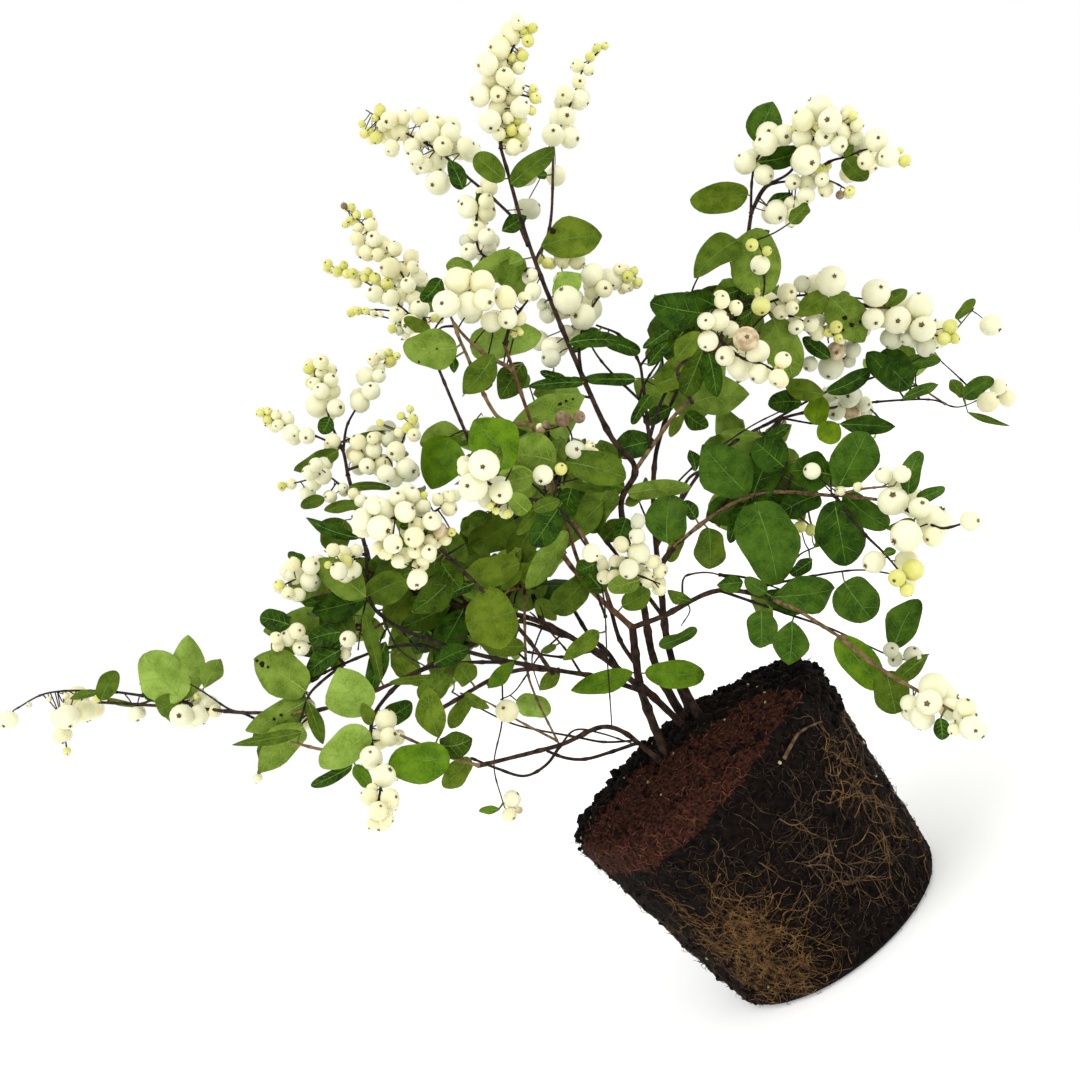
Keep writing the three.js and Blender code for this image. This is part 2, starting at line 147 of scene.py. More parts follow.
# Twigs, by the pixels they pass: the first is where they leave a limb or an earlier twig. Then how
# deep the tip lies, the radius at foot and tip, and the colour of the bark.
TWIGS = {
    "top": ([(501, 148), (499, 120), (500, 90), (508, 60), (521, 30)], -15, 0.9, 0.4, "dark"),
    "second": ([(553, 141), (566, 115), (575, 92), (583, 70), (602, 48)], 56, 0.7, 0.3, "dark"),
    "top_left": ([(459, 170), (440, 152), (415, 138), (390, 125), (366, 110)], 72, 0.8, 0.3, "dark"),
    "collar": ([(540, 275), (500, 262), (479, 250), (477, 215), (487, 184)], 40, 0.8, 0.4, "dark"),
    "upper_a": ([(428, 342), (424, 318), (405, 280), (382, 242), (344, 208)], 140, 0.9, 0.3, "dark"),
    "upper_b": ([(426, 330), (395, 302), (362, 280), (329, 265)], 128, 0.8, 0.3, "dark"),
    "upper_c": ([(424, 334), (388, 318), (350, 312)], 108, 0.6, 0.3, "dark"),
    "front_upper": ([(512, 368), (482, 352), (456, 326), (446, 304)], -96, 1.0, 0.5, "tan"),
    "front_upper_right": ([(505, 346), (512, 322), (528, 300)], -88, 0.8, 0.4, "dark"),
    "front_long": ([(532, 425), (497, 416), (464, 349), (453, 322)], -104, 1.0, 0.6, "tan"),
    "upper_right": ([(586, 317), (600, 296), (620, 281), (636, 273)], 18, 0.8, 0.3, "dark"),
    "upper_right_b": ([(586, 317), (566, 292), (561, 262)], 14, 0.7, 0.3, "dark"),
    "loop_right": ([(636, 440), (643, 384), (638, 360), (621, 336), (596, 325)], 18, 1.0, 0.5, "dark"),
    "loop_leaf": ([(642, 366), (660, 340), (675, 318)], 16, 0.7, 0.3, "dark"),
    "loop_inner": ([(632, 408), (609, 370), (592, 347), (588, 331)], 6, 0.8, 0.4, "dark"),
    "crown_up": ([(750, 217), (752, 180), (757, 160), (772, 132)], -6, 0.8, 0.4, "dark"),
    "crown_mid": ([(750, 213), (764, 188), (790, 172), (812, 140), (838, 124)], -34, 0.9, 0.4, "dark"),
    "crown_low": ([(753, 207), (768, 186), (793, 181), (826, 180), (850, 191)], -26, 0.8, 0.3, "dark"),
    "crown_arm": ([(800, 176), (829, 162), (846, 157), (872, 149), (904, 160)], -42, 0.8, 0.3, "dark"),
    "shoulder_up": ([(735, 300), (761, 300), (764, 262), (757, 240)], -26, 0.6, 0.3, "dark"),
    "shoulder_out": ([(739, 322), (770, 302), (794, 296), (830, 295), (872, 300)], 38, 0.8, 0.4, "dark"),
    "shoulder_low": ([(742, 330), (770, 312), (796, 318), (832, 334)], 36, 0.7, 0.3, "dark"),
    "right_big": ([(805, 328), (850, 312), (880, 304), (905, 320), (925, 332)], 34, 0.9, 0.4, "dark"),
    # This twig carries berries whose shade is painted as a green-grey colour.
    "right_shaded_bunch": ([(805, 330), (822, 346), (846, 360)], 58, 0.7, 0.3, "dark"),
    "right_thin": ([(762, 424), (826, 392), (880, 375), (938, 347), (974, 308)], 40, 0.8, 0.3, "dark"),
    "outer": ([(852, 403), (902, 400), (933, 400), (959, 407), (990, 394)], 120, 0.8, 0.3, "dark"),
    "outer_leaves": ([(783, 418), (816, 424), (840, 424)], 78, 0.7, 0.3, "dark"),
    "front_cluster": ([(724, 344), (742, 358), (762, 364), (780, 374)], -96, 0.8, 0.4, "dark"),
    "front_cluster_up": ([(724, 344), (714, 332), (706, 320)], -90, 0.7, 0.3, "dark"),
    "right_end": ([(884, 500), (915, 514), (940, 528), (968, 522)], -106, 0.9, 0.4, "dark"),
    "right_drop": ([(834, 497), (863, 532), (884, 553), (905, 578)], -102, 0.8, 0.3, "dark"),
    "right_up": ([(834, 495), (862, 489), (894, 486)], -92, 0.7, 0.3, "tan"),
    "loop_small": ([(680, 603), (683, 580), (692, 574), (712, 573), (738, 582)], -34, 0.6, 0.3, "dark"),
    "curl": ([(684, 599), (690, 610), (681, 626)], -40, 0.4, 0.2, "dark"),
    "low_tan": ([(840, 635), (881, 669), (920, 692), (958, 714)], -110, 1.2, 0.5, "tan"),
    "low_thin": ([(719, 590), (759, 604), (794, 616), (834, 630), (886, 654), (915, 662)], -60, 0.7, 0.3,
        "dark"),
    "low_nodes": ([(745, 588), (782, 582), (830, 573), (863, 570), (893, 574)], -54, 0.7, 0.3, "dark"),
    "low_back": ([(778, 583), (797, 557), (815, 547), (834, 538)], -30, 0.5, 0.3, "dark"),
    "droop": ([(510, 533), (523, 586), (526, 660), (535, 695), (560, 746)], -60, 0.8, 0.5, "tan"),
    "hair": ([(593, 560), (604, 600), (607, 655), (612, 728)], -38, 0.4, 0.3, "dark"),
    "left_arch": ([(560, 673), (480, 655), (409, 632), (380, 614), (369, 595), (366, 545)], 0, 1.1, 0.7,
        "dark"),
    "left_runner": ([(449, 652), (420, 645), (383, 649), (341, 665), (306, 682)], -20, 1.0, 0.6, "dark"),
    "left_runner_b": ([(513, 664), (458, 663), (424, 670), (393, 688), (376, 712)], -60, 0.9, 0.5, "dark"),
    "left_runner_c": ([(381, 616), (399, 649), (428, 668)], -30, 0.5, 0.3, "dark"),
    "mid_stem": ([(632, 668), (620, 640), (611, 610), (603, 580), (596, 550)], 12, 1.2, 0.8, "dark"),
    "mid_stem_b": ([(622, 665), (608, 653), (590, 636), (575, 612), (560, 588)], 20, 1.2, 0.8, "dark"),
    "node_twig": ([(595, 650), (583, 653), (561, 657), (520, 650), (498, 640)], 2, 0.8, 0.4, "dark"),
    "node_twig_b": ([(560, 636), (540, 655), (516, 690), (500, 700)], -20, 0.5, 0.3, "dark"),
    "arch_low": ([(640, 740), (611, 752), (586, 759), (566, 758), (547, 751)], -60, 0.9, 0.6, "dark"),
    "arch_mid": ([(636, 738), (604, 742), (576, 737), (520, 726), (487, 712), (452, 692)], -52, 0.6, 0.35,
        "dark"),
    "arch_out": ([(480, 766), (449, 757), (422, 745), (400, 735)], -92, 0.8, 0.5, "tan"),
    "shoulder_in": ([(640, 440), (662, 400), (690, 352), (704, 318)], 24, 1.0, 0.6, "dark"),
    "shoulder_in_b": ([(646, 430), (640, 396), (660, 360), (684, 330)], 30, 0.7, 0.4, "dark"),
    "long_thin": ([(662, 512), (690, 470), (745, 430), (783, 410)], 50, 0.6, 0.4, "dark"),
    "arch_loop": ([(562, 751), (546, 765), (524, 776), (496, 768), (471, 758)], -80, 0.7, 0.5, "dark"),
    "arch_thin": ([(560, 738), (519, 721), (487, 702), (460, 693)], -66, 0.6, 0.3, "tan"),
    "drop_tiny": ([(506, 684), (502, 721), (494, 765), (503, 803)], -74, 0.4, 0.25, "dark"),
    "low_left_stem": ([(440, 664), (424, 669), (398, 685), (374, 715), (372, 747), (381, 775), (376, 820)],
        -116, 1.1, 0.4, "dark"),
    "low_left_out": ([(373, 740), (330, 750), (291, 742)], -70, 0.8, 0.5, "tan"),
    "left_node": ([(345, 664), (320, 683), (308, 697), (300, 722)], -34, 0.9, 0.5, "dark"),
    "left_fruit": ([(345, 664), (330, 650), (306, 643), (282, 641)], -22, 0.7, 0.3, "dark"),
    "left_hook": ([(366, 590), (362, 620), (358, 650)], 2, 0.5, 0.3, "dark"),
    "far_out": ([(193, 707), (185, 702), (145, 696), (101, 691), (48, 693), (14, 710)], 36, 0.9, 0.35,
        "dark"),
    "far_up": ([(245, 713), (229, 709), (205, 693), (190, 684)], 6, 0.6, 0.3, "dark"),
    "spike_c": ([(348, 475), (343, 451), (332, 426), (323, 396), (314, 370)], 50, 0.9, 0.3, "dark"),
    "spike_d": ([(344, 452), (347, 426), (358, 405), (373, 376), (391, 356)], 54, 0.8, 0.3, "dark"),
    "spike_e": ([(340, 448), (318, 437), (290, 428), (262, 413)], 40, 0.7, 0.3, "dark"),
    "cluster_f": ([(350, 470), (370, 462), (396, 452), (411, 420)], 26, 0.8, 0.3, "dark"),
    "cluster_g": ([(360, 505), (345, 490), (325, 475), (303, 481), (282, 486)], 46, 0.7, 0.3, "dark"),
    "big_left_a": ([(416, 525), (395, 518), (368, 520)], -122, 0.8, 0.4, "dark"),
    "big_left_b": ([(416, 525), (428, 542), (418, 570)], -116, 0.7, 0.3, "dark"),
    "big_left_c": ([(416, 525), (434, 512), (452, 500)], -114, 0.7, 0.3, "dark"),
    "left_low_a": ([(372, 570), (364, 555), (345, 560), (330, 566)], -44, 0.7, 0.3, "dark"),
    "left_low_b": ([(372, 560), (340, 555), (310, 572), (282, 586)], -20, 0.7, 0.3, "dark"),
    "centre_a": ([(553, 500), (520, 498), (490, 484), (478, 470)], -142, 0.8, 0.4, "dark"),
    "centre_b": ([(553, 500), (556, 484), (546, 470)], -120, 0.6, 0.3, "dark"),
    "centre_up": ([(556, 484), (566, 462), (572, 438), (566, 424)], -112, 0.5, 0.3, "dark"),
    "low_centre": ([(598, 566), (612, 572), (630, 560), (640, 535)], -62, 0.8, 0.3, "dark"),
    "low_centre_b": ([(616, 570), (640, 576), (660, 584)], -64, 0.6, 0.3, "dark"),
    "net_a": ([(607, 656), (580, 640), (556, 634), (530, 612)], 10, 0.7, 0.35, "dark"),
    "net_b": ([(582, 674), (566, 650), (548, 628), (540, 606)], -6, 0.6, 0.3, "dark"),
    "net_c": ([(546, 620), (537, 640), (532, 662), (540, 690)], -14, 0.5, 0.25, "dark"),
    "net_d": ([(526, 660), (502, 640), (480, 634), (452, 640)], -10, 0.6, 0.3, "dark"),
    "net_e": ([(604, 616), (596, 590), (592, 566)], 16, 0.7, 0.4, "dark"),
    "net_f": ([(560, 745), (575, 730), (600, 733), (634, 744)], -46, 0.5, 0.3, "dark"),
}

# Berries, by the twig that carries them: pixel, diameter in pixels, and tone (w white, c cream,
# g green-grey as painted shade for berries in shadow, y yellow-green, n brown, s withered).
FRUIT = {
    "top": [(518, 23, 14, "c"), (524, 30, 10, "y"), (533, 28, 10, "y"), (528, 41, 13, "y"),
        (512, 37, 19, "c"), (499, 48, 23, "c"), (487, 64, 23, "w"), (523, 56, 11, "y"), (512, 58, 9, "y"),
        (503, 65, 15, "c"), (519, 68, 13, "c"), (505, 77, 19, "c"), (491, 82, 20, "c"), (517, 87, 17, "w"),
        (480, 95, 22, "w"), (498, 94, 17, "c"), (511, 99, 13, "c"), (520, 108, 20, "w"),
        (498, 109, 21, "c"), (490, 121, 23, "w"), (508, 118, 12, "c"), (517, 121, 11, "y"),
        (525, 130, 14, "c"), (512, 130, 12, "y"), (504, 137, 13, "y"), (520, 136, 14, "y"),
        (514, 147, 17, "c"), (535, 98, 12, "y"), (533, 88, 8, "y"), (532, 111, 9, "y"),
        (499, 134, 14, "c")],
    "second": [(553, 135, 23, "w"), (570, 138, 21, "w"), (566, 117, 20, "w"), (565, 95, 18, "c"),
        (579, 100, 20, "w"), (579, 82, 15, "c"), (578, 66, 13, "c"), (589, 70, 12, "c"), (590, 57, 10, "y"),
        (597, 48, 9, "y"), (605, 46, 8, "y"), (556, 176, 20, "w"), (527, 175, 21, "g"),
        (531, 209, 21, "g")],
    "top_left": [(375, 118, 8, "y"), (362, 124, 8, "y"), (364, 134, 9, "y"), (370, 131, 9, "y"),
        (380, 110, 12, "y"), (389, 120, 17, "c"), (392, 134, 17, "c"), (400, 132, 18, "c"),
        (403, 117, 15, "c"), (420, 117, 18, "c"), (392, 147, 16, "c"), (412, 147, 17, "w"),
        (422, 139, 17, "w"), (430, 131, 20, "w"), (437, 124, 18, "c"), (443, 146, 20, "c"),
        (450, 134, 21, "w"), (466, 147, 20, "w"), (416, 158, 15, "w"), (424, 165, 17, "w"),
        (436, 160, 24, "w"), (438, 183, 24, "w"), (376, 138, 13, "y"), (382, 126, 12, "c")],
    "collar": [(468, 208, 21, "w"), (487, 212, 19, "c"), (490, 188, 16, "c"), (480, 221, 17, "w"),
        (477, 231, 20, "w"), (468, 241, 14, "g"), (487, 237, 18, "w"), (469, 252, 18, "w"),
        (488, 248, 18, "w"), (481, 193, 12, "c"), (486, 201, 15, "c"), (532, 275, 14, "w"),
        (533, 291, 17, "w")],
    "front_upper": [(457, 280, 26, "c"), (482, 283, 26, "c"), (446, 304, 28, "w"), (469, 304, 26, "w"),
        (484, 300, 22, "c"), (506, 299, 24, "c"), (491, 322, 22, "w"), (508, 319, 20, "w"),
        (519, 318, 16, "c"), (513, 332, 8, "y"), (520, 332, 8, "y"), (524, 298, 13, "c")],
    "upper_right": [(567, 300, 28, "w"), (583, 317, 27, "w"), (542, 305, 11, "g"), (555, 304, 10, "g"),
        (548, 316, 15, "g"), (560, 313, 14, "g"), (567, 331, 13, "g"), (592, 275, 24, "w"),
        (592, 292, 16, "w"), (604, 289, 18, "c"), (615, 280, 21, "w"), (619, 269, 12, "c"),
        (628, 277, 12, "y"), (634, 271, 9, "y"), (638, 282, 10, "y"), (626, 287, 10, "c"),
        (562, 259, 16, "c"), (577, 262, 16, "c"), (547, 263, 12, "y"), (541, 259, 9, "y"),
        (551, 347, 20, "w"), (551, 358, 20, "g")],
    "upper_a": [(344, 206, 7, "s"), (352, 207, 8, "y"), (357, 215, 9, "y"), (368, 214, 10, "y"),
        (350, 220, 8, "y"), (345, 225, 7, "y"), (358, 228, 10, "c"), (371, 225, 14, "c"),
        (357, 239, 15, "c"), (374, 239, 17, "w"), (367, 253, 17, "c"), (378, 255, 14, "c"),
        (385, 249, 16, "c"), (395, 249, 15, "c"), (390, 268, 21, "c"), (402, 271, 18, "c"),
        (411, 257, 16, "c"), (419, 277, 17, "w"), (408, 285, 16, "w"), (413, 267, 13, "c"),
        (403, 295, 15, "c"), (414, 298, 16, "c"), (420, 309, 20, "w"), (397, 316, 18, "w"),
        (411, 324, 20, "w"), (435, 318, 9, "y")],
    "upper_b": [(328, 264, 10, "y"), (327, 269, 7, "y"), (337, 272, 11, "y"), (344, 265, 9, "y"),
        (347, 274, 10, "y"), (353, 273, 10, "y"), (356, 282, 13, "c"), (365, 278, 10, "y"),
        (375, 278, 12, "y"), (387, 284, 13, "y"), (368, 271, 8, "y"), (375, 294, 18, "w"),
        (391, 298, 18, "w")],
    "upper_c": [(351, 313, 9, "y"), (358, 311, 9, "y"), (366, 311, 8, "y"), (373, 313, 7, "c"),
        (381, 314, 6, "c"), (392, 329, 9, "y"), (399, 331, 9, "g")],
    "spike_c": [(309, 369, 12, "y"), (310, 383, 10, "y"), (321, 362, 16, "c"), (321, 373, 12, "c"),
        (330, 370, 14, "c"), (321, 391, 17, "w"), (333, 391, 16, "w"), (317, 406, 24, "w"),
        (336, 408, 19, "w"), (331, 380, 15, "w"), (314, 384, 14, "c"), (333, 441, 16, "c")],
    "spike_d": [(360, 403, 20, "w"), (371, 391, 19, "w"), (379, 376, 14, "w"), (366, 377, 20, "w"),
        (379, 368, 13, "w"), (373, 360, 12, "c"), (381, 355, 11, "c"), (391, 361, 12, "y"),
        (389, 352, 8, "y"), (397, 356, 8, "y")],
    "spike_e": [(260, 413, 9, "y"), (268, 419, 11, "y"), (268, 411, 8, "y"), (276, 415, 10, "c"),
        (278, 425, 12, "c"), (287, 419, 15, "w"), (291, 433, 18, "w"), (307, 436, 17, "w")],
    "cluster_f": [(358, 442, 17, "c"), (357, 457, 17, "c"), (374, 450, 17, "w"), (396, 451, 20, "c"),
        (383, 464, 20, "c"), (367, 466, 17, "w"), (406, 468, 21, "w"), (395, 479, 18, "w"),
        (386, 474, 19, "w"), (399, 433, 12, "c"), (408, 428, 12, "y"), (413, 419, 11, "y"),
        (401, 416, 9, "y"), (410, 409, 8, "y"), (414, 435, 14, "c"), (380, 423, 8, "y"),
        (373, 438, 13, "c"), (388, 439, 13, "g")],
    "cluster_g": [(325, 463, 17, "w"), (323, 476, 18, "w"), (310, 473, 16, "w"), (316, 465, 15, "w"),
        (314, 484, 15, "w"), (291, 484, 12, "c"), (282, 486, 9, "y"), (343, 488, 11, "w"),
        (331, 497, 13, "w"), (354, 494, 13, "c"), (361, 501, 13, "w")],
    "centre_a": [(484, 465, 32, "w"), (473, 487, 30, "w"), (501, 492, 24, "w"), (490, 506, 8, "y"),
        (496, 511, 8, "y"), (507, 514, 10, "y"), (466, 470, 18, "w")],
    "centre_b": [(543, 475, 21, "w"), (561, 469, 13, "y"), (587, 476, 13, "c"), (591, 553, 19, "w")],
    "centre_up": [(575, 450, 20, "g"), (589, 449, 12, "c"), (593, 454, 10, "c"), (563, 419, 17, "s"),
        (579, 417, 13, "s"), (546, 425, 9, "s"), (541, 431, 8, "s")],
    "big_left_a": [(412, 495, 17, "w"), (397, 498, 17, "w"), (362, 519, 23, "w"), (382, 511, 27, "w"),
        (380, 528, 26, "w"), (405, 512, 22, "w"), (393, 544, 20, "w"), (374, 507, 16, "w"),
        (379, 548, 15, "c"), (386, 554, 13, "c")],
    "big_left_b": [(432, 521, 20, "w"), (440, 530, 16, "n"), (414, 537, 21, "c"), (430, 541, 14, "c"),
        (445, 539, 14, "c"), (406, 555, 16, "c"), (415, 551, 16, "c"), (429, 552, 16, "w"),
        (398, 561, 15, "w"), (423, 560, 14, "c"), (418, 566, 13, "c"), (418, 578, 20, "w")],
    "big_left_c": [(423, 506, 16, "w"), (424, 495, 8, "y"), (438, 499, 13, "c"), (450, 496, 12, "c"),
        (449, 508, 17, "c"), (452, 532, 9, "y")],
    "left_low_a": [(333, 550, 14, "c"), (344, 553, 15, "c"), (356, 551, 14, "c"), (346, 562, 15, "y"),
        (339, 571, 18, "w"), (353, 570, 18, "w"), (328, 565, 8, "y")],
    "left_low_b": [(295, 575, 20, "w"), (309, 580, 19, "w"), (293, 564, 15, "c"), (279, 585, 12, "y"),
        (288, 593, 13, "c"), (298, 595, 16, "w"), (311, 566, 18, "w"), (318, 562, 13, "w")],
    "left_fruit": [(297, 631, 17, "c"), (288, 638, 18, "w"), (301, 648, 17, "w"), (276, 638, 13, "c"),
        (278, 646, 12, "c"), (348, 639, 17, "w"), (346, 654, 11, "c"), (301, 716, 13, "c"),
        (258, 778, 9, "c")],
    "far_out": [(208, 705, 21, "w"), (199, 715, 20, "w"), (182, 716, 24, "w"), (215, 711, 14, "c"),
        (197, 697, 7, "y"), (136, 714, 16, "w"), (84, 711, 23, "c"), (67, 717, 25, "w"), (61, 736, 17, "c"),
        (67, 751, 8, "y"), (98, 698, 9, "y"), (9, 720, 18, "w"), (66, 696, 7, "c"), (64, 705, 7, "c"),
        (49, 699, 6, "c"), (29, 705, 6, "g")],
    "low_left_stem": [(386, 720, 22, "c"), (389, 737, 20, "c"), (398, 739, 14, "c"), (371, 757, 23, "w"),
        (384, 776, 24, "w"), (369, 797, 18, "c"), (390, 798, 20, "c"), (378, 811, 20, "c"),
        (388, 819, 13, "c"), (373, 824, 13, "c"), (372, 789, 12, "c")],
    "drop_tiny": [(512, 799, 18, "w"), (509, 815, 15, "c"), (519, 810, 8, "n")],
    "arch_thin": [(507, 711, 24, "c")],
    "low_centre": [(638, 521, 15, "g"), (637, 536, 16, "w"), (639, 553, 22, "w"), (629, 569, 20, "w"),
        (615, 561, 13, "c"), (603, 566, 14, "c"), (604, 577, 15, "c"), (615, 577, 16, "c"),
        (640, 571, 14, "w"), (652, 562, 14, "c"), (660, 571, 15, "c"), (647, 578, 15, "c"),
        (659, 583, 13, "c"), (661, 590, 12, "c"), (621, 544, 16, "c")],
    "crown_up": [(768, 134, 24, "w"), (766, 144, 23, "w"), (784, 135, 21, "w"), (745, 163, 22, "w"),
        (764, 175, 20, "w")],
    "crown_mid": [(802, 138, 20, "w"), (819, 108, 27, "w"), (803, 120, 22, "c"), (830, 121, 24, "w"),
        (840, 133, 21, "w"), (857, 125, 14, "c"), (853, 115, 9, "y"), (856, 138, 16, "w"),
        (824, 137, 19, "w"), (806, 127, 9, "y"), (815, 130, 9, "y"), (806, 160, 30, "w"),
        (839, 145, 18, "w"), (847, 117, 13, "c"), (831, 113, 14, "c"), (814, 144, 16, "c"),
        (795, 128, 8, "y"), (802, 134, 7, "s")],
    "crown_arm": [(876, 140, 24, "w"), (889, 157, 21, "w"), (866, 161, 18, "c"), (905, 161, 13, "y"),
        (900, 151, 7, "y")],
    "crown_low": [(793, 182, 16, "w"), (807, 184, 18, "w"), (822, 179, 15, "w"), (821, 170, 12, "y"),
        (828, 166, 8, "y"), (806, 196, 18, "w"), (826, 190, 15, "c"), (840, 195, 9, "s"),
        (850, 191, 11, "y"), (776, 213, 22, "w"), (792, 205, 18, "w"), (793, 215, 14, "w")],
    "shoulder_up": [(752, 245, 13, "y"), (767, 251, 10, "y"), (760, 265, 20, "w"), (761, 306, 19, "y"),
        (757, 291, 7, "y")],
    "loop_leaf": [(663, 314, 12, "g")],
    "front_cluster": [(729, 328, 16, "w"), (746, 339, 26, "n"), (725, 356, 20, "w"), (739, 366, 25, "w"),
        (757, 352, 26, "w"), (759, 374, 20, "w"), (778, 378, 19, "c"), (783, 360, 17, "c"),
        (779, 369, 10, "y")],
    "front_cluster_up": [(706, 321, 18, "w"), (718, 320, 22, "w"), (708, 341, 21, "w"), (709, 334, 9, "y"),
        (722, 301, 16, "c"), (736, 307, 14, "c")],
    "shoulder_out": [(787, 293, 20, "c"), (802, 284, 17, "g"), (831, 281, 30, "w"), (778, 305, 20, "c"),
        (781, 312, 16, "c"), (792, 308, 14, "c")],
    "shoulder_low": [(796, 327, 16, "w"), (811, 324, 17, "w"), (817, 333, 16, "c"), (836, 327, 13, "y"),
        (828, 333, 9, "y"), (838, 338, 10, "y"), (798, 316, 8, "c")],
    "right_big": [(876, 293, 28, "w"), (873, 319, 22, "w"), (897, 320, 28, "w"), (919, 306, 26, "w"),
        (923, 329, 26, "w"), (890, 338, 20, "g"), (907, 339, 14, "g"), (926, 347, 20, "g"),
        (950, 327, 16, "y"), (944, 339, 13, "y"), (955, 339, 11, "y")],
    # Most of these berries are g, painted shade in green-grey.
    "right_shaded_bunch": [(836, 351, 19, "n"), (853, 350, 16, "g"), (831, 367, 26, "g"), (810, 364, 16, "g"),
        (849, 361, 14, "g")],
    "right_thin": [(991, 325, 22, "w")],
    "outer": [(849, 397, 22, "g"), (864, 404, 16, "g"), (836, 411, 20, "g"), (852, 413, 18, "n"),
        (998, 387, 17, "w"), (988, 402, 21, "c"), (1007, 398, 17, "c")],
    "right_end": [(893, 501, 31, "w"), (920, 508, 22, "w"), (931, 520, 30, "w"), (906, 536, 32, "w"),
        (933, 537, 20, "c"), (970, 521, 20, "w")],
    "right_up": [(884, 475, 18, "w"), (902, 474, 18, "w"), (858, 487, 10, "c"), (841, 491, 10, "c"),
        (812, 471, 17, "w")],
    "right_drop": [(874, 562, 23, "w"), (913, 570, 22, "y"), (897, 578, 18, "y"), (907, 590, 15, "y")],
    "low_back": [(800, 527, 13, "y"), (811, 530, 12, "y")],
    "low_tan": [(933, 687, 29, "w"), (929, 702, 26, "w"), (922, 718, 25, "w"), (910, 704, 20, "w"),
        (950, 709, 23, "w"), (966, 707, 20, "c"), (972, 728, 25, "w"), (963, 716, 20, "w"),
        (954, 730, 13, "c")],
    "low_thin": [(913, 655, 19, "g"), (891, 650, 16, "g"), (895, 660, 15, "g")],
}

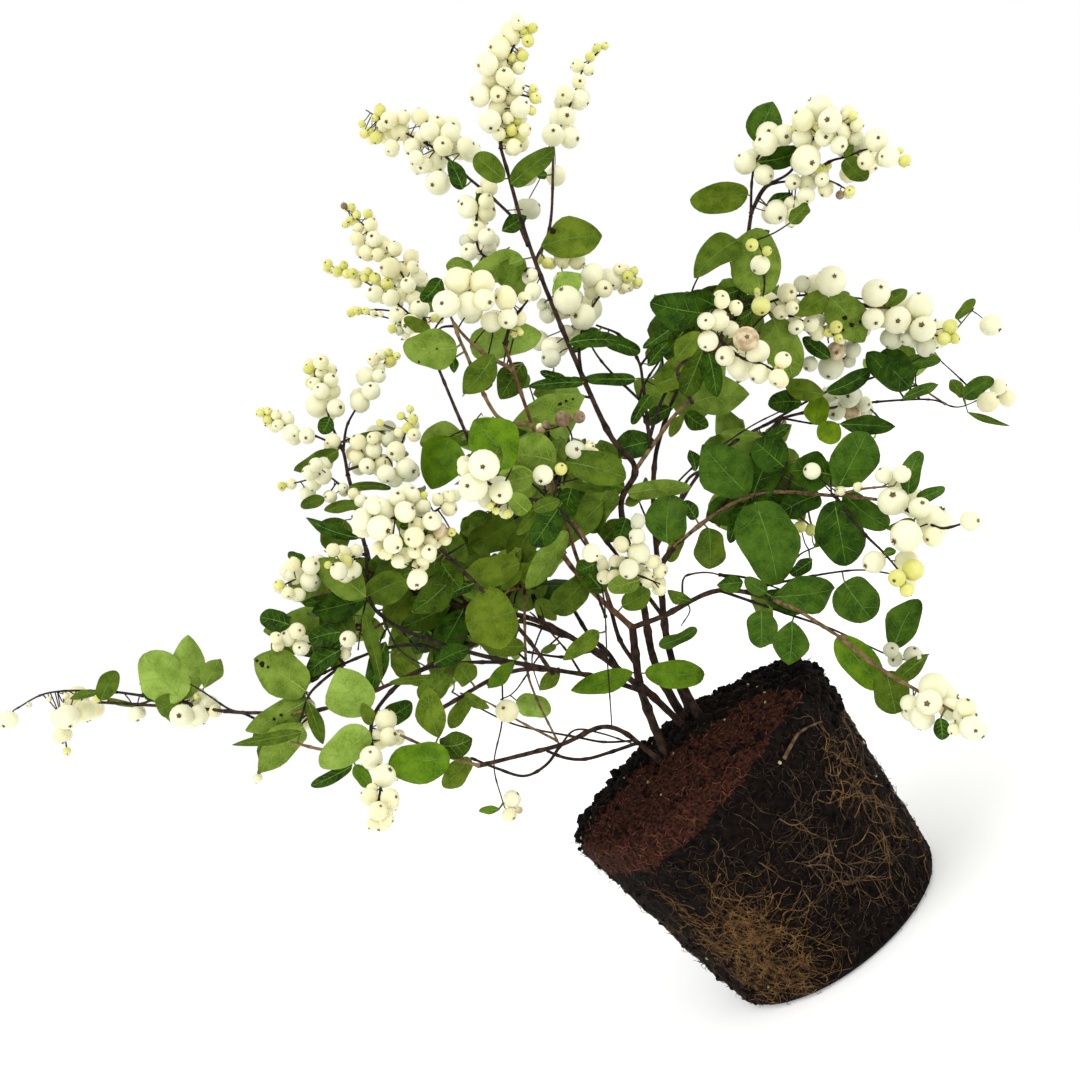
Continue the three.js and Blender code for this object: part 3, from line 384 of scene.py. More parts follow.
# The leaves that show best: pixel of the base, pixel of the tip, width in pixels, tone, and for some
# the limbs or twigs that may carry it. Tones of a top are d deep, k shaded, g green, m mid, b bright,
# o olive and y yellow-green, and those of an underside l light and p pale.
LEAVES = [
    (511, 184, 555, 149, 22, "m"), (504, 180, 475, 155, 24, "m"), (463, 189, 449, 160, 18, "d"),
    (478, 205, 481, 193, 9, "d"), (502, 231, 526, 216, 17, "d"), (547, 175, 537, 176, 8, "d"),
    (541, 246, 602, 236, 42, "o"), (553, 296, 581, 274, 27, "p"), (523, 259, 471, 272, 32, "l"),
    (521, 260, 502, 286, 24, "m"), (473, 270, 446, 265, 20, "l"), (441, 279, 421, 301, 18, "d"),
    (569, 343, 621, 341, 16, "d"), (457, 348, 403, 347, 38, "l"), (470, 347, 543, 335, 38, "p"),
    (494, 355, 464, 393, 30, "m"), (523, 363, 500, 400, 30, "k"), (453, 357, 454, 373, 10, "d"),
    (511, 424, 586, 395, 36, "l"), (584, 382, 529, 386, 12, "d"), (635, 379, 585, 379, 13, "d"),
    (673, 409, 634, 381, 32, "l"), (706, 313, 650, 302, 36, "d"), (709, 353, 717, 397, 20, "d"),
    (688, 404, 750, 394, 42, "l"), (686, 413, 708, 427, 18, "d"), (672, 328, 643, 348, 11, "d"),
    (683, 332, 664, 357, 8, "d"), (762, 296, 755, 228, 50, "l"), (738, 290, 714, 297, 14, "d"),
    (752, 305, 738, 293, 12, "d"), (752, 311, 739, 320, 11, "d"), (773, 318, 793, 378, 38, "l"),
    (827, 296, 794, 315, 24, "o"), (829, 297, 864, 342, 40, "l"), (829, 358, 803, 338, 15, "d"),
    (827, 392, 870, 370, 18, "d"), (878, 354, 910, 388, 36, "d"), (893, 380, 868, 352, 24, "d"),
    (885, 370, 941, 360, 16, "g"), (885, 306, 907, 290, 15, "m"), (956, 319, 975, 299, 10, "m"),
    (903, 398, 938, 384, 12, "g"), (963, 397, 993, 378, 18, "g"), (963, 397, 950, 380, 12, "m"),
    (967, 412, 1010, 426, 7, "m"), (840, 424, 895, 427, 20, "d"), (816, 425, 821, 395, 25, "y"),
    (819, 424, 839, 441, 23, "y"), (825, 394, 783, 381, 22, "o"), (801, 402, 768, 404, 22, "d"),
    (762, 440, 790, 425, 12, "d"), (763, 437, 720, 434, 14, "l"), (756, 142, 773, 102, 36, "g"),
    (758, 162, 805, 149, 22, "d"), (748, 194, 690, 200, 30, "o"), (845, 159, 867, 180, 20, "m"),
    (844, 156, 854, 145, 9, "m"), (766, 207, 792, 193, 13, "d"), (790, 223, 808, 205, 15, "m"),
    (750, 236, 770, 231, 10, "m"), (748, 494, 702, 445, 52, "g"), (784, 467, 754, 441, 38, "d"),
    (831, 475, 790, 471, 40, "d"), (820, 495, 780, 514, 30, "d"), (755, 502, 777, 583, 56, "g"),
    (749, 498, 706, 519, 36, "g"), (747, 501, 730, 543, 16, "d"), (709, 528, 710, 569, 31, "m"),
    (667, 543, 671, 495, 42, "g"), (628, 493, 691, 487, 19, "l"), (669, 562, 682, 532, 14, "o"),
    (626, 505, 645, 492, 12, "o"), (626, 518, 617, 541, 16, "d"), (696, 519, 684, 501, 14, "d"),
    (695, 471, 689, 450, 12, "d"), (639, 580, 608, 588, 20, "l"), (595, 564, 579, 571, 14, "d"),
    (659, 646, 697, 629, 13, "g"), (645, 673, 704, 675, 28, "b"), (633, 673, 572, 690, 23, "b"),
    (599, 632, 563, 660, 19, "o"), (556, 645, 541, 652, 8, "m"), (587, 577, 552, 612, 30, "m"),
    (541, 569, 520, 610, 26, "l"), (567, 531, 526, 589, 25, "l"), (554, 530, 604, 501, 24, "m"),
    (533, 475, 500, 482, 22, "l"), (624, 488, 570, 469, 26, "k"), (611, 484, 587, 532, 34, "m"),
    (572, 488, 565, 523, 24, "d"), (655, 441, 611, 452, 30, "d"), (669, 408, 644, 423, 16, "d"),
    (650, 395, 632, 424, 12, "d"), (682, 416, 670, 437, 11, "o"), (743, 582, 717, 585, 18, "g"),
    (766, 592, 745, 578, 16, "g"), (772, 597, 834, 589, 40, "g"), (763, 592, 800, 614, 20, "d"),
    (761, 611, 761, 648, 30, "g"), (792, 621, 789, 665, 36, "g"), (844, 582, 872, 619, 44, "g"),
    (834, 501, 846, 566, 46, "d"), (839, 486, 867, 432, 44, "g"), (844, 494, 889, 527, 28, "g"),
    (908, 494, 920, 451, 20, "g"), (917, 499, 945, 488, 13, "g"), (915, 521, 887, 529, 12, "m"),
    (884, 553, 896, 551, 9, "m"), (894, 648, 918, 599, 30, "g"), (837, 637, 881, 689, 34, "b"),
    (929, 654, 884, 690, 17, "m"), (886, 671, 896, 714, 36, "m"), (940, 718, 942, 740, 16, "d"),
    (815, 547, 831, 537, 7, "m"), (182, 700, 144, 654, 44, "p"), (184, 700, 188, 635, 36, "p"),
    (204, 688, 220, 659, 22, "l"), (178, 699, 158, 710, 24, "m"), (160, 698, 144, 695, 12, "d"),
    (101, 700, 116, 671, 20, "m"), (99, 692, 70, 699, 9, "m"), (107, 699, 139, 706, 6, "l"),
    (330, 417, 322, 434, 16, "d"), (338, 451, 295, 471, 18, "m"), (348, 442, 391, 433, 9, "m"),
    (350, 487, 391, 488, 9, "m"), (324, 498, 301, 507, 13, "m"), (361, 505, 324, 510, 12, "m"),
    (359, 538, 306, 518, 13, "d"), (345, 520, 330, 551, 33, "m"), (305, 562, 288, 553, 12, "d"),
    (366, 597, 319, 560, 36, "l"), (366, 599, 312, 612, 30, "d"), (350, 601, 303, 604, 12, "d"),
    (290, 625, 260, 617, 22, "d"), (340, 632, 309, 640, 22, "d"), (341, 650, 306, 675, 20, "d"),
    (306, 691, 254, 660, 44, "l"), (363, 716, 338, 668, 50, "p"), (308, 700, 246, 731, 32, "l"),
    (302, 732, 232, 745, 13, "m"), (303, 726, 259, 774, 36, "l"), (308, 702, 323, 744, 15, "m"),
    (381, 681, 364, 613, 14, "m"), (370, 732, 321, 766, 34, "p"), (352, 766, 311, 786, 13, "d"),
    (355, 765, 370, 787, 15, "b"), (371, 725, 362, 703, 14, "o"), (450, 758, 389, 765, 40, "b"),
    (470, 758, 443, 787, 22, "o"), (440, 745, 472, 738, 26, "k"), (439, 738, 428, 687, 30, "o"),
    (385, 718, 412, 703, 22, "d"), (470, 695, 450, 728, 17, "o"), (465, 694, 489, 708, 12, "o"),
    (516, 701, 551, 711, 24, "p"), (454, 681, 390, 683, 10, "o"), (470, 682, 458, 664, 24, "o"),
    (488, 688, 514, 662, 16, "b"), (524, 646, 490, 645, 20, "o"),
    (515, 611, 468, 628, 58, "o", "bough_big_left"), (463, 610, 434, 661, 32, "d"),
    (436, 612, 416, 630, 18, "m"), (366, 597, 410, 578, 32, "m"),
    (458, 571, 412, 612, 28, "k", "bough_big_left"), (450, 605, 400, 628, 26, "k"),
    (520, 564, 464, 577, 30, "o", "bough_big_left"), (500, 809, 479, 811, 8, "b"),
    (449, 437, 431, 489, 46, "b"), (462, 434, 420, 444, 34, "l"), (512, 468, 474, 420, 52, "b"),
    (556, 462, 508, 455, 42, "l"), (533, 480, 499, 474, 26, "p"), (566, 462, 626, 478, 34, "m"),
    (603, 502, 553, 554, 28, "m"), (515, 520, 470, 545, 34, "m"), (530, 530, 512, 560, 30, "m"),
    (490, 540, 462, 520, 24, "m"), (412, 592, 385, 628, 28, "o"),
    (440, 556, 402, 576, 24, "k", "bough_big_left"), (655, 385, 692, 372, 24, "o"),
    (702, 352, 684, 396, 24, "k", "bough_shoulder_front"), (648, 366, 668, 342, 14, "d"),
    (700, 340, 676, 356, 20, "m"), (738, 240, 694, 277, 32, "m"), (562, 502, 532, 546, 30, "d"),
    (604, 592, 578, 560, 24, "k"), (622, 606, 650, 590, 22, "m"), (668, 392, 690, 350, 30, "m"),
    (612, 470, 600, 440, 26, "m"), (470, 640, 500, 618, 24, "o"), (386, 642, 372, 690, 20, "d"),
    (420, 700, 448, 676, 26, "m"), (434, 664, 470, 648, 22, "d"), (350, 636, 322, 656, 24, "d"),
    (330, 610, 352, 640, 22, "m"), (540, 690, 560, 672, 16, "o"), (690, 600, 668, 590, 12, "m"),
    (716, 306, 690, 292, 20, "d"), (656, 300, 686, 318, 26, "g"), (600, 330, 572, 352, 18, "d"),
    (604, 340, 640, 352, 16, "d"), (430, 332, 404, 318, 14, "o"), (812, 560, 790, 574, 14, "d"),
    (486, 512, 460, 556, 30, "m"), (521, 548, 496, 569, 24, "l"), (528, 512, 510, 494, 20, "l"),
    (556, 492, 517, 535, 14, "o"), (534, 510, 560, 500, 15, "m"), (512, 536, 482, 530, 10, "l"),
    (425, 519, 400, 527, 12, "d"), (474, 583, 444, 597, 12, "d"), (752, 500, 782, 440, 40, "d"),
    (752, 498, 722, 510, 34, "d"), (604, 540, 622, 520, 20, "m"), (536, 600, 556, 620, 18, "o"),
    (500, 590, 520, 560, 22, "m"), (548, 560, 520, 580, 22, "o"), (588, 520, 612, 500, 22, "o"),
    (440, 560, 460, 588, 20, "k"), (486, 470, 500, 446, 22, "m"), (380, 600, 400, 570, 22, "m"),
    (350, 580, 330, 596, 18, "d"), (392, 660, 420, 676, 14, "o"), (566, 380, 540, 372, 10, "d"),
    (668, 330, 690, 300, 22, "d"), (676, 360, 700, 332, 22, "o"),
]


# Dark spots on leaves, by pixel, and their radius in pixels.
SPOTS = [
    (553, 231, 3.5), (551, 229, 1.6), (419, 362, 1.4), (437, 349, 1.2), (262, 664, 3.2), (257, 661, 1.8),
    (268, 667, 1.5), (281, 715, 1.8), (274, 719, 1.6), (845, 318, 3.0), (852, 325, 2.6), (860, 322, 1.8),
    (843, 330, 1.5), (560, 404, 2.2), (566, 401, 1.6), (573, 399, 1.4), (790, 356, 1.5), (899, 427, 2.0),
]

# Places where the foliage is closed although no single leaf stands out: pixel and radius.
DENSE = [
    (520, 525, 30), (560, 570, 22), (400, 590, 30), (420, 640, 20), (480, 560, 28), (545, 480, 30),
    (585, 450, 20), (600, 478, 20), (700, 385, 18), (690, 425, 14), (500, 600, 26), (540, 600, 18),
    (330, 580, 18), (380, 640, 16), (700, 330, 16), (500, 300, 16), (545, 310, 16), (440, 540, 26),
    (720, 420, 16), (770, 470, 26), (740, 540, 24), (410, 480, 24), (350, 470, 20), (560, 430, 14),
]


def smooth(way, step):
    """A smooth line through places, with points about step apart."""
    pts = np.asarray(way, float)
    pts = np.vstack([2 * pts[0] - pts[1], pts, 2 * pts[-1] - pts[-2]])
    out = []
    for i in range(1, len(pts) - 2):
        p = pts[i - 1:i + 3]
        count = max(2, int(np.linalg.norm(p[2] - p[1]) / step))
        t = np.arange(count)[:, None] / count
        out.append(0.5 * (2 * p[1] + (p[2] - p[0]) * t + (2 * p[0] - 5 * p[1] + 4 * p[2] - p[3]) * t**2
                          + (3 * p[1] - p[0] - 3 * p[2] + p[3]) * t**3))
    return np.vstack([*out, pts[-2]])


def lengths_along(line):
    """How far along a line each of its points lies."""
    return np.concatenate([[0], np.cumsum(np.linalg.norm(np.diff(line, axis=0), axis=1))])


class Heap:
    """Points and faces that become one joined piece."""

    def __init__(self):
        self.points = []
        self.faces = []
        self.count = 0

    def add(self, points, faces):
        """Adds one shape, its faces counted from its own first point."""
        self.points.append(points)
        self.faces += [tuple(i + self.count for i in face) for face in faces]
        self.count += len(points)

    def make(self, name, material, slot, nodes=()):
        """Makes the piece, in place of the solids named."""
        mesh = bpy.data.meshes.new(name)
        mesh.from_pydata((np.vstack(self.points) * MM).tolist(), [], self.faces)
        mesh.validate()
        mesh.polygons.foreach_set("use_smooth", [True] * len(mesh.polygons))
        mesh.materials.append(material)
        piece = bpy.data.objects.new(name, mesh)
        bpy.context.scene.collection.objects.link(piece)
        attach(piece, "root")
        if nodes:
            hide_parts(*nodes)


def heap_of(table, key):
    """The heap for a look, made when it is first needed."""
    return table.setdefault(key, Heap())


def tube_frames(line):
    """Two directions across a line at each of its points, turning as little as they can."""
    ahead = np.gradient(line, axis=0)
    ahead /= np.linalg.norm(ahead, axis=1)[:, None]
    steep = abs(ahead[0][2]) >= 0.9
    across = unit(np.cross(ahead[0], np.array([1.0, 0, 0]) if steep else UP))
    sides = []
    for a in ahead:
        across = unit(across - a * np.dot(across, a))
        sides.append((across, np.cross(a, across)))
    return np.array([s[0] for s in sides]), np.array([s[1] for s in sides])


def wall_faces(rows, around):
    """The faces between points that lie in rows round a tube."""
    return [(i * around + j, i * around + k, (i + 1) * around + k, (i + 1) * around + j)
            for i in range(rows - 1) for j in range(around) for k in ((j + 1) % around,)]


def end_faces(rows, around):
    """The two faces that close such a tube."""
    return [tuple(range(around - 1, -1, -1)), tuple((rows - 1) * around + j for j in range(around))]


def tube(heap, line, radii, sides):
    """A closed tube along a line. radii has one radius a point, or one for each point and side."""
    one, other = tube_frames(line)
    turn = np.arange(sides) / sides * 2 * math.pi
    radii = np.broadcast_to(np.asarray(radii, float).reshape(len(line), -1), (len(line), sides))
    rings = line[:, None] + radii[..., None] * (one[:, None] * np.cos(turn)[None, :, None]
                                                + other[:, None] * np.sin(turn)[None, :, None])
    heap.add(rings.reshape(-1, 3), wall_faces(len(line), sides) + end_faces(len(line), sides))


# How much a nearer point of the network is preferred where two show alike, and how much farther
# than the nearest point a side shoot may leave it.
NEARER_WINS = 0.06
ROOT_CHOICE = 24.0


class Network:
    """Every limb and twig as a cloud of points that later growth can leave from."""

    def __init__(self):
        self.points = np.zeros((0, 3))
        self.names = []
        self.fore = np.zeros(0, bool)

    def add(self, name, line, fore=False):
        """Adds a limb or twig. fore says which of it passes in front of the leaves round it."""
        self.points = np.vstack([self.points, line])
        self.names += [name] * len(line)
        self.fore = np.concatenate([self.fore, np.broadcast_to(fore, len(line))])

    def of(self, names):
        """The points of some limbs and twigs, or all of them."""
        if not names:
            return self.points
        return self.points[[i for i, n in enumerate(self.names) if n in names]]

    def at_pixel(self, x, y, names=None):
        """The point that shows nearest a pixel."""
        points = self.of(names)
        away = np.linalg.norm(pixels(points) - (x, y), axis=1) + NEARER_WINS * points[:, 1]
        return points[int(np.argmin(away))]

    def nearest(self, place, names=None):
        """The point nearest a place."""
        points = self.of(names)
        return points[int(np.argmin(np.linalg.norm(points - place, axis=1)))]

    def somewhere_near(self, place):
        """A seeded point that isn't much farther off than the nearest."""
        away = np.linalg.norm(self.points - place, axis=1)
        near = np.flatnonzero(away < away.min() + ROOT_CHOICE)
        return self.points[near[int(rng.integers(len(near)))]]


# A line that changes sides by less than this pierces a leaf, and by more it passes the leaf's edge.
LEAF_STEP = 6.0
# How far a berry keeps from a leaf before which it lies, and the share of its radius that counts.
BERRY_CLEAR = 0.6
BERRY_CORE = 0.85


class Shown:
    """How near the closest leaf or berry is in each small square of the reference view."""

    CELL = 4

    def __init__(self):
        count = FRAME_PX // self.CELL
        self.depth = np.full((count, count), np.inf)
        self.closed = np.zeros((count, count), bool)
        for x, y, r in DENSE:
            for row, col in self.squares(x, y, r):
                self.closed[row, col] = True

    def squares(self, x, y, r):
        """The squares within a radius of a pixel."""
        low = np.maximum(((np.array([y, x]) - r) // self.CELL).astype(int), 0)
        high = np.minimum(((np.array([y, x]) + r) // self.CELL).astype(int), len(self.depth) - 1)
        for row in range(low[0], high[0] + 1):
            for col in range(low[1], high[1] + 1):
                if math.hypot((col + 0.5) * self.CELL - x, (row + 0.5) * self.CELL - y) <= r:
                    yield row, col

    def cells(self, points):
        """The square that each point falls in."""
        cell = (pixels(points)[:, ::-1] // self.CELL).astype(int)
        return np.clip(cell, 0, len(self.depth) - 1)

    def cover(self, cells):
        """How far from the eye the closest thing that shows is in some squares."""
        return self.depth[cells[:, 0], cells[:, 1]]

    @staticmethod
    def away(points):
        """How far from the eye points lie."""
        return -((np.atleast_2d(points) - EYE) @ AXES.T)[:, 2]

    def mark(self, points, closed_only=False):
        """Notes that something shows at points."""
        for (row, col), d in zip(self.cells(points), self.away(points)):
            if d < self.depth[row, col] and (self.closed[row, col] or not closed_only):
                self.depth[row, col] = d

    def mark_disc(self, centre, radius):
        """Notes that a berry shows."""
        (x, y), d = pixels(centre)[0], self.away(centre)[0]
        for row, col in self.squares(x, y, radius / mm_per_px(centre)):
            self.depth[row, col] = min(self.depth[row, col], d)

    def before_leaves(self, centre, radius):
        """How much nearer a berry has to lie so that no leaf cuts through it."""
        x, y = pixels(centre)[0]
        core = self.squares(x, y, BERRY_CORE * radius / mm_per_px(centre))
        past = self.away(centre)[0] - min([self.depth[cell] for cell in core], default=np.inf)
        return past + radius + BERRY_CLEAR if abs(past) < radius + BERRY_CLEAR else 0.0

    def hides(self, points, margin=2.0, share=0.9, closed_too=False):
        """Whether nearly all of some points lie behind what shows, or else in a part that is closed."""
        cells = self.cells(points)
        cover = self.cover(cells)
        behind = self.away(points) > cover + margin
        if closed_too:
            behind |= self.closed[cells[:, 0], cells[:, 1]] & np.isinf(cover)
        return np.mean(behind) >= share

    def pierced(self, line):
        """Whether a line goes through a leaf that shows, rather than past its edge."""
        cover = self.cover(self.cells(line))
        covered = np.isfinite(cover)
        past = self.away(line) - np.where(covered, cover, 0.0)
        both = covered[1:] & covered[:-1]
        crossed = (past[1:] > 0) != (past[:-1] > 0)
        return np.any(both & crossed & (np.abs(np.diff(past)) < LEAF_STEP))

    def fits(self, points):
        """Keeps a leaf of the fill that lies behind what shows or closes a part that is closed."""
        kept = self.hides(points, closed_too=True)
        if kept:
            self.mark(points, closed_only=True)
        return kept


network = Network()
shown = Shown()
twig_heaps = {"dark": Heap(), "tan": Heap(), "green": Heap()}
leaf_heaps = {}
fruit_heaps = {}
root_heaps = {"gold": Heap(), "pale": Heap(), "fibre": Heap(), "red_fibre": Heap()}

# Limbs. Their radii are these shares of the solids', at foot and tip, and the relief adds to them.
FOOT_THIN = 0.72
TIP_THIN = 0.80
LIMB_STEP = 1.6
SIDES = {"stem": 14, "bough": 10}
LIMB_LOOKS = {"stem": ("bark", "bark"), "bough": ("twig", "twig_bark")}
# How much a stem flares at the foot, over which share of its length, and how soon limbs get thin.
FLARE = 0.25
FLARE_SHARE = 0.12
BARK_TAPER = 0.7
# Bark noise: how dense it is round a limb and along it, and how high.
ROUGH = (1.7, 0.16)
ROUGH_HEIGHT = 0.14
RIDGES = (4.1, 0.5)
RIDGE_HEIGHT = 0.10
RIDGE_START = 40
# Swellings along bark: height, distance between two, where the first lies, and how wide they are.
LIMB_NODES = (0.28, 26, 9, 3.0)
TWIG_KNOTS = (0.45, 15, 5, 0.8)
# Where tan bark starts and ends, as shares of a limb's length, and how thick the limb is there.
TAN_LIMBS = {
    "bough_centre": (-1, 2, 1.05), "bough_front_upper": (-1, 2, 0.85), "bough_centre_front": (-1, 2, 0.85),
    "stem_right": (0.42, 2, 0.7), "bough_low_right": (0.62, 2, 0.75), "bough_shoulder": (-1, 0.47, 0.8),
}
NO_TAN = (2, 2, 1)
TAN_FADE = 0.04
TAN_SWELL = 1.05
# Twigs that pass in front of the leaves round them.
FORE_TWIGS = {"shoulder_up", "low_tan"}
TWIG_STEP = 1.5
TWIG_SIDES = 6
FILL_TWIG_SIDES = 5


def swellings(along, height, gap, first, wide):
    """How much thicker bark is at each place along it."""
    return 1 + height * np.exp(-((along + first) % gap - first)**2 / wide)


def relief(turn, along, dense_round, dense_along, start):
    """Noise over a limb, at each angle round it and each place along it."""
    return np.array([[noise.noise(Vector((math.cos(a) * dense_round, math.sin(a) * dense_round,
                                          s * dense_along + start))) for a in turn] for s in along])


def bark_radii(line, foot, tip, sides, flared):
    """Radii of a limb with ridged bark, swollen nodes and, on a stem, a root flare."""
    share = np.linspace(0, 1, len(line))
    base = foot + (tip - foot) * share**BARK_TAPER
    if flared:
        base = base * (1 + FLARE * np.clip(1 - share / FLARE_SHARE, 0, 1))
    along = lengths_along(line)
    base = base * swellings(along, *LIMB_NODES)
    turn = np.arange(sides) / sides * 2 * math.pi
    rough = relief(turn, along, *ROUGH, foot)
    ridge = relief(turn, along, *RIDGES, RIDGE_START)
    return base[:, None] * (1 + ROUGH_HEIGHT * rough + RIDGE_HEIGHT * ridge)


def tan_share(name, share):
    """How tan, from 0 to 1, the bark of a limb is at shares of its length."""
    start, end, _ = TAN_LIMBS.get(name, NO_TAN)
    return np.clip((share - start) / TAN_FADE, 0, 1) * np.clip((end - share) / TAN_FADE, 0, 1)


def build_limbs():
    """Each stem and bough as its own piece with the relief of its bark."""
    for name, (way, foot, tip) in LIMBS.items():
        line = smooth(np.array(way, float) + (0, 0, RIM), LIMB_STEP)
        kind = name.split("_")[0]
        flared = kind == "stem" or name == "bough_arch"
        tan = tan_share(name, np.linspace(0, 1, len(line)))
        radii = bark_radii(line, foot * FOOT_THIN, tip * TIP_THIN, SIDES[kind], flared)
        radii *= (1 + (TAN_LIMBS.get(name, NO_TAN)[2] - 1) * tan)[:, None]
        is_tan = tan > 0.5
        network.add(name, line, is_tan)
        heap = Heap()
        tube(heap, line, radii, SIDES[kind])
        if is_tan.any() and not is_tan.all():
            tube(twig_heaps["tan"], line[is_tan], radii[is_tan] * TAN_SWELL, SIDES[kind])
        slot, look = LIMB_LOOKS[kind]
        heap.make("bark_" + name, MATERIALS["tan_bark" if is_tan.all() else look], slot, [name])


def grow_twig(name, line, foot, tip, look, sides=TWIG_SIDES, fore=False):
    """A twig with a knot every centimetre or so, which becomes part of the network."""
    radii = np.linspace(foot, tip, len(line)) * swellings(lengths_along(line), *TWIG_KNOTS)
    tube(twig_heaps[look], line, radii, sides)
    network.add(name, line, fore)


def build_twigs():
    """The twigs that show in the view, from where they leave their limb to their tip."""
    for name, (way, deep, foot, tip, look) in TWIGS.items():
        start = network.at_pixel(*way[0])
        run = np.cumsum([0] + [math.dist(a, b) for a, b in zip(way, way[1:])])
        places = [start] + [seen(x, y, start[1] + (deep - start[1]) * far / run[-1])
                            for (x, y), far in zip(way[1:], run[1:])]
        grow_twig(name, smooth(places, TWIG_STEP), foot, tip, look, fore=name in FORE_TWIGS)


# Where the points of a leaf lie, as shares of its length and of half its width, and those of a plain
# one with fewer faces.
STATIONS = np.array([0, 0.015, 0.05, 0.11, 0.19, 0.29, 0.40, 0.52, 0.64, 0.75, 0.85, 0.93, 0.98, 1.0])
ACROSS = np.linspace(-1, 1, 7)
PLAIN_STATIONS = np.array([0, 0.04, 0.15, 0.30, 0.48, 0.66, 0.82, 0.94, 1.0])
PLAIN_ACROSS = np.linspace(-1, 1, 5)
# Veins: the midrib's points, those of a side vein from where it starts, where the pairs start, their
# width, how much narrower they end, and how far they stand off the leaf.
MIDRIB = (0.0, 0.2, 0.4, 0.6, 0.8, 0.95)
SIDE_VEIN = ((0.0, 0.0), (0.07, 0.3), (0.13, 0.58), (0.16, 0.8))
VEIN_PAIRS = 4
FIRST_PAIR = 0.12
PAIR_APART = 0.19
MIDRIB_WIDTH = 0.5
VEIN_WIDTH = 0.19
VEIN_TAPER = 0.35
VEIN_LIFT = 0.14
# Half a leaf's thickness at the midrib, the share it loses at the edge, and the least half width.
LEAF_THICK = 0.16
EDGE_THIN = 0.6
TIP_WIDTH = 0.02
# How often a leaf is pointed, and the ripple of its edge.
POINTED_CHANCE = 0.4
EDGE_RIPPLE = 0.02
QUILT_HEIGHT = 0.012
QUILTS = 5.2
# Tones that are tops of leaves; the others are undersides.
TOPS = "dkgmboy"


def strip(heap, surface, path, width, lift):
    """A fine vein laid on a leaf along (share of length, share of half width) places."""
    pts = np.array([surface(t, s) + lift for t, s in path])
    ahead = np.gradient(pts, axis=0)
    side = np.cross(ahead, lift)
    side /= np.maximum(np.linalg.norm(side, axis=1), 1e-9)[:, None]
    half = np.linspace(width, width * VEIN_TAPER, len(pts))[:, None] / 2
    count = len(pts)
    faces = [(i, i + 1, count + i + 1, count + i) for i in range(count - 1)]
    heap.add(np.vstack([pts - side * half, pts + side * half]), faces)


def blade(base, tip, up, width):
    """A seeded leaf blade: the function that gives its places, and the direction its top faces."""
    span = tip - base
    length = np.linalg.norm(span)
    ahead = span / length
    up = unit(up - ahead * np.dot(up, ahead))
    side = np.cross(ahead, up)
    pointed = rng.random() < POINTED_CHANCE
    fullness = rng.uniform(0.74, 1.08)
    power = 1.8 if pointed else 2.2
    blunt = rng.uniform(0.66, 0.84) if pointed else rng.uniform(0.46, 0.58)
    fold = rng.uniform(0.08, 0.42)
    bow = rng.uniform(-0.06, 0.16)
    wave = rng.uniform(0.01, 0.07)
    phase = rng.uniform(0, 2 * math.pi)
    ripple = EDGE_RIPPLE + wave
    lean = rng.uniform(-0.05, 0.05)

    def surface(t, s):
        half = width / 2 * max(1 - abs(2 * min(t, 1)**fullness - 1)**power, 0.0)**blunt
        half = max(half, TIP_WIDTH * width)
        half *= 1 + ripple * math.sin(9 * t + 3 * phase + (2.1 if s > 0 else 0.0))
        rise = bow * length * 4 * t * (1 - t) + fold * abs(s)**1.5 * half
        rise += wave * length * s * s * math.sin(8 * t + phase + 1.5 * s)
        quilt = math.sin(2 * math.pi * (QUILTS * t - abs(s)))
        rise += QUILT_HEIGHT * length * (1 - s * s) * quilt * min(1, 4 * t * (1 - t))
        swing = lean * length * math.sin(math.pi * t)
        return base + ahead * length * t + side * (s * half + swing) + up * rise

    return surface, up


def add_veins(surface, up, plain):
    """The raised midrib of a leaf on both faces, and its side veins unless it is plain."""
    for key, sign in (("vein_top", 1), ("vein_under", -1)):
        lift = up * sign * (LEAF_THICK + VEIN_LIFT)
        veins = heap_of(leaf_heaps, key)
        strip(veins, surface, [(t, 0) for t in (MIDRIB[::2] if plain else MIDRIB)], MIDRIB_WIDTH, lift)
        for k in range(0 if plain else VEIN_PAIRS):
            start = FIRST_PAIR + PAIR_APART * k
            for way in (-1, 1):
                strip(veins, surface, [(start + on, way * out) for on, out in SIDE_VEIN], VEIN_WIDTH, lift)


def leaf(base, tip, up, width, tone, under, accept, plain=False):
    """A leaf from base to tip, top facing up. Gives its points, or None if accept turns them down."""
    surface, up = blade(base, tip, up, width)
    stations, spread = (PLAIN_STATIONS, PLAIN_ACROSS) if plain else (STATIONS, ACROSS)
    grid = np.array([[surface(t, s) for s in spread] for t in stations])
    points = grid.reshape(-1, 3)
    if not accept(points):
        return None
    swell = LEAF_THICK * (1 - EDGE_THIN * spread**4)[None, :, None] * up
    rows, cols = len(stations), len(spread)
    quads = [(i * cols + j, i * cols + j + 1, (i + 1) * cols + j + 1, (i + 1) * cols + j)
             for i in range(rows - 1) for j in range(cols - 1)]
    top = heap_of(leaf_heaps, "top_" + tone)
    top.add((grid + swell).reshape(-1, 3), [(a, d, c, b) for a, b, c, d in quads])
    heap_of(leaf_heaps, "under_" + under).add((grid - swell).reshape(-1, 3), quads)
    add_veins(surface, up, plain)
    return points


# Radii of stalks and of the fill's twigs at foot and tip, in millimetres.
LONG_STALK = (0.42, 0.3)
SHORT_STALK = (0.45, 0.35)
BERRY_STALK = (0.32, 0.28)
BUNCH_STALK = (0.3, 0.26)
SHOOT_TWIG = (0.7, 0.35)
BUNCH_TWIG = (0.6, 0.35)
STALK_BEND = 0.04
STALK_STEP = 2.5
STALK_SIDES = 4


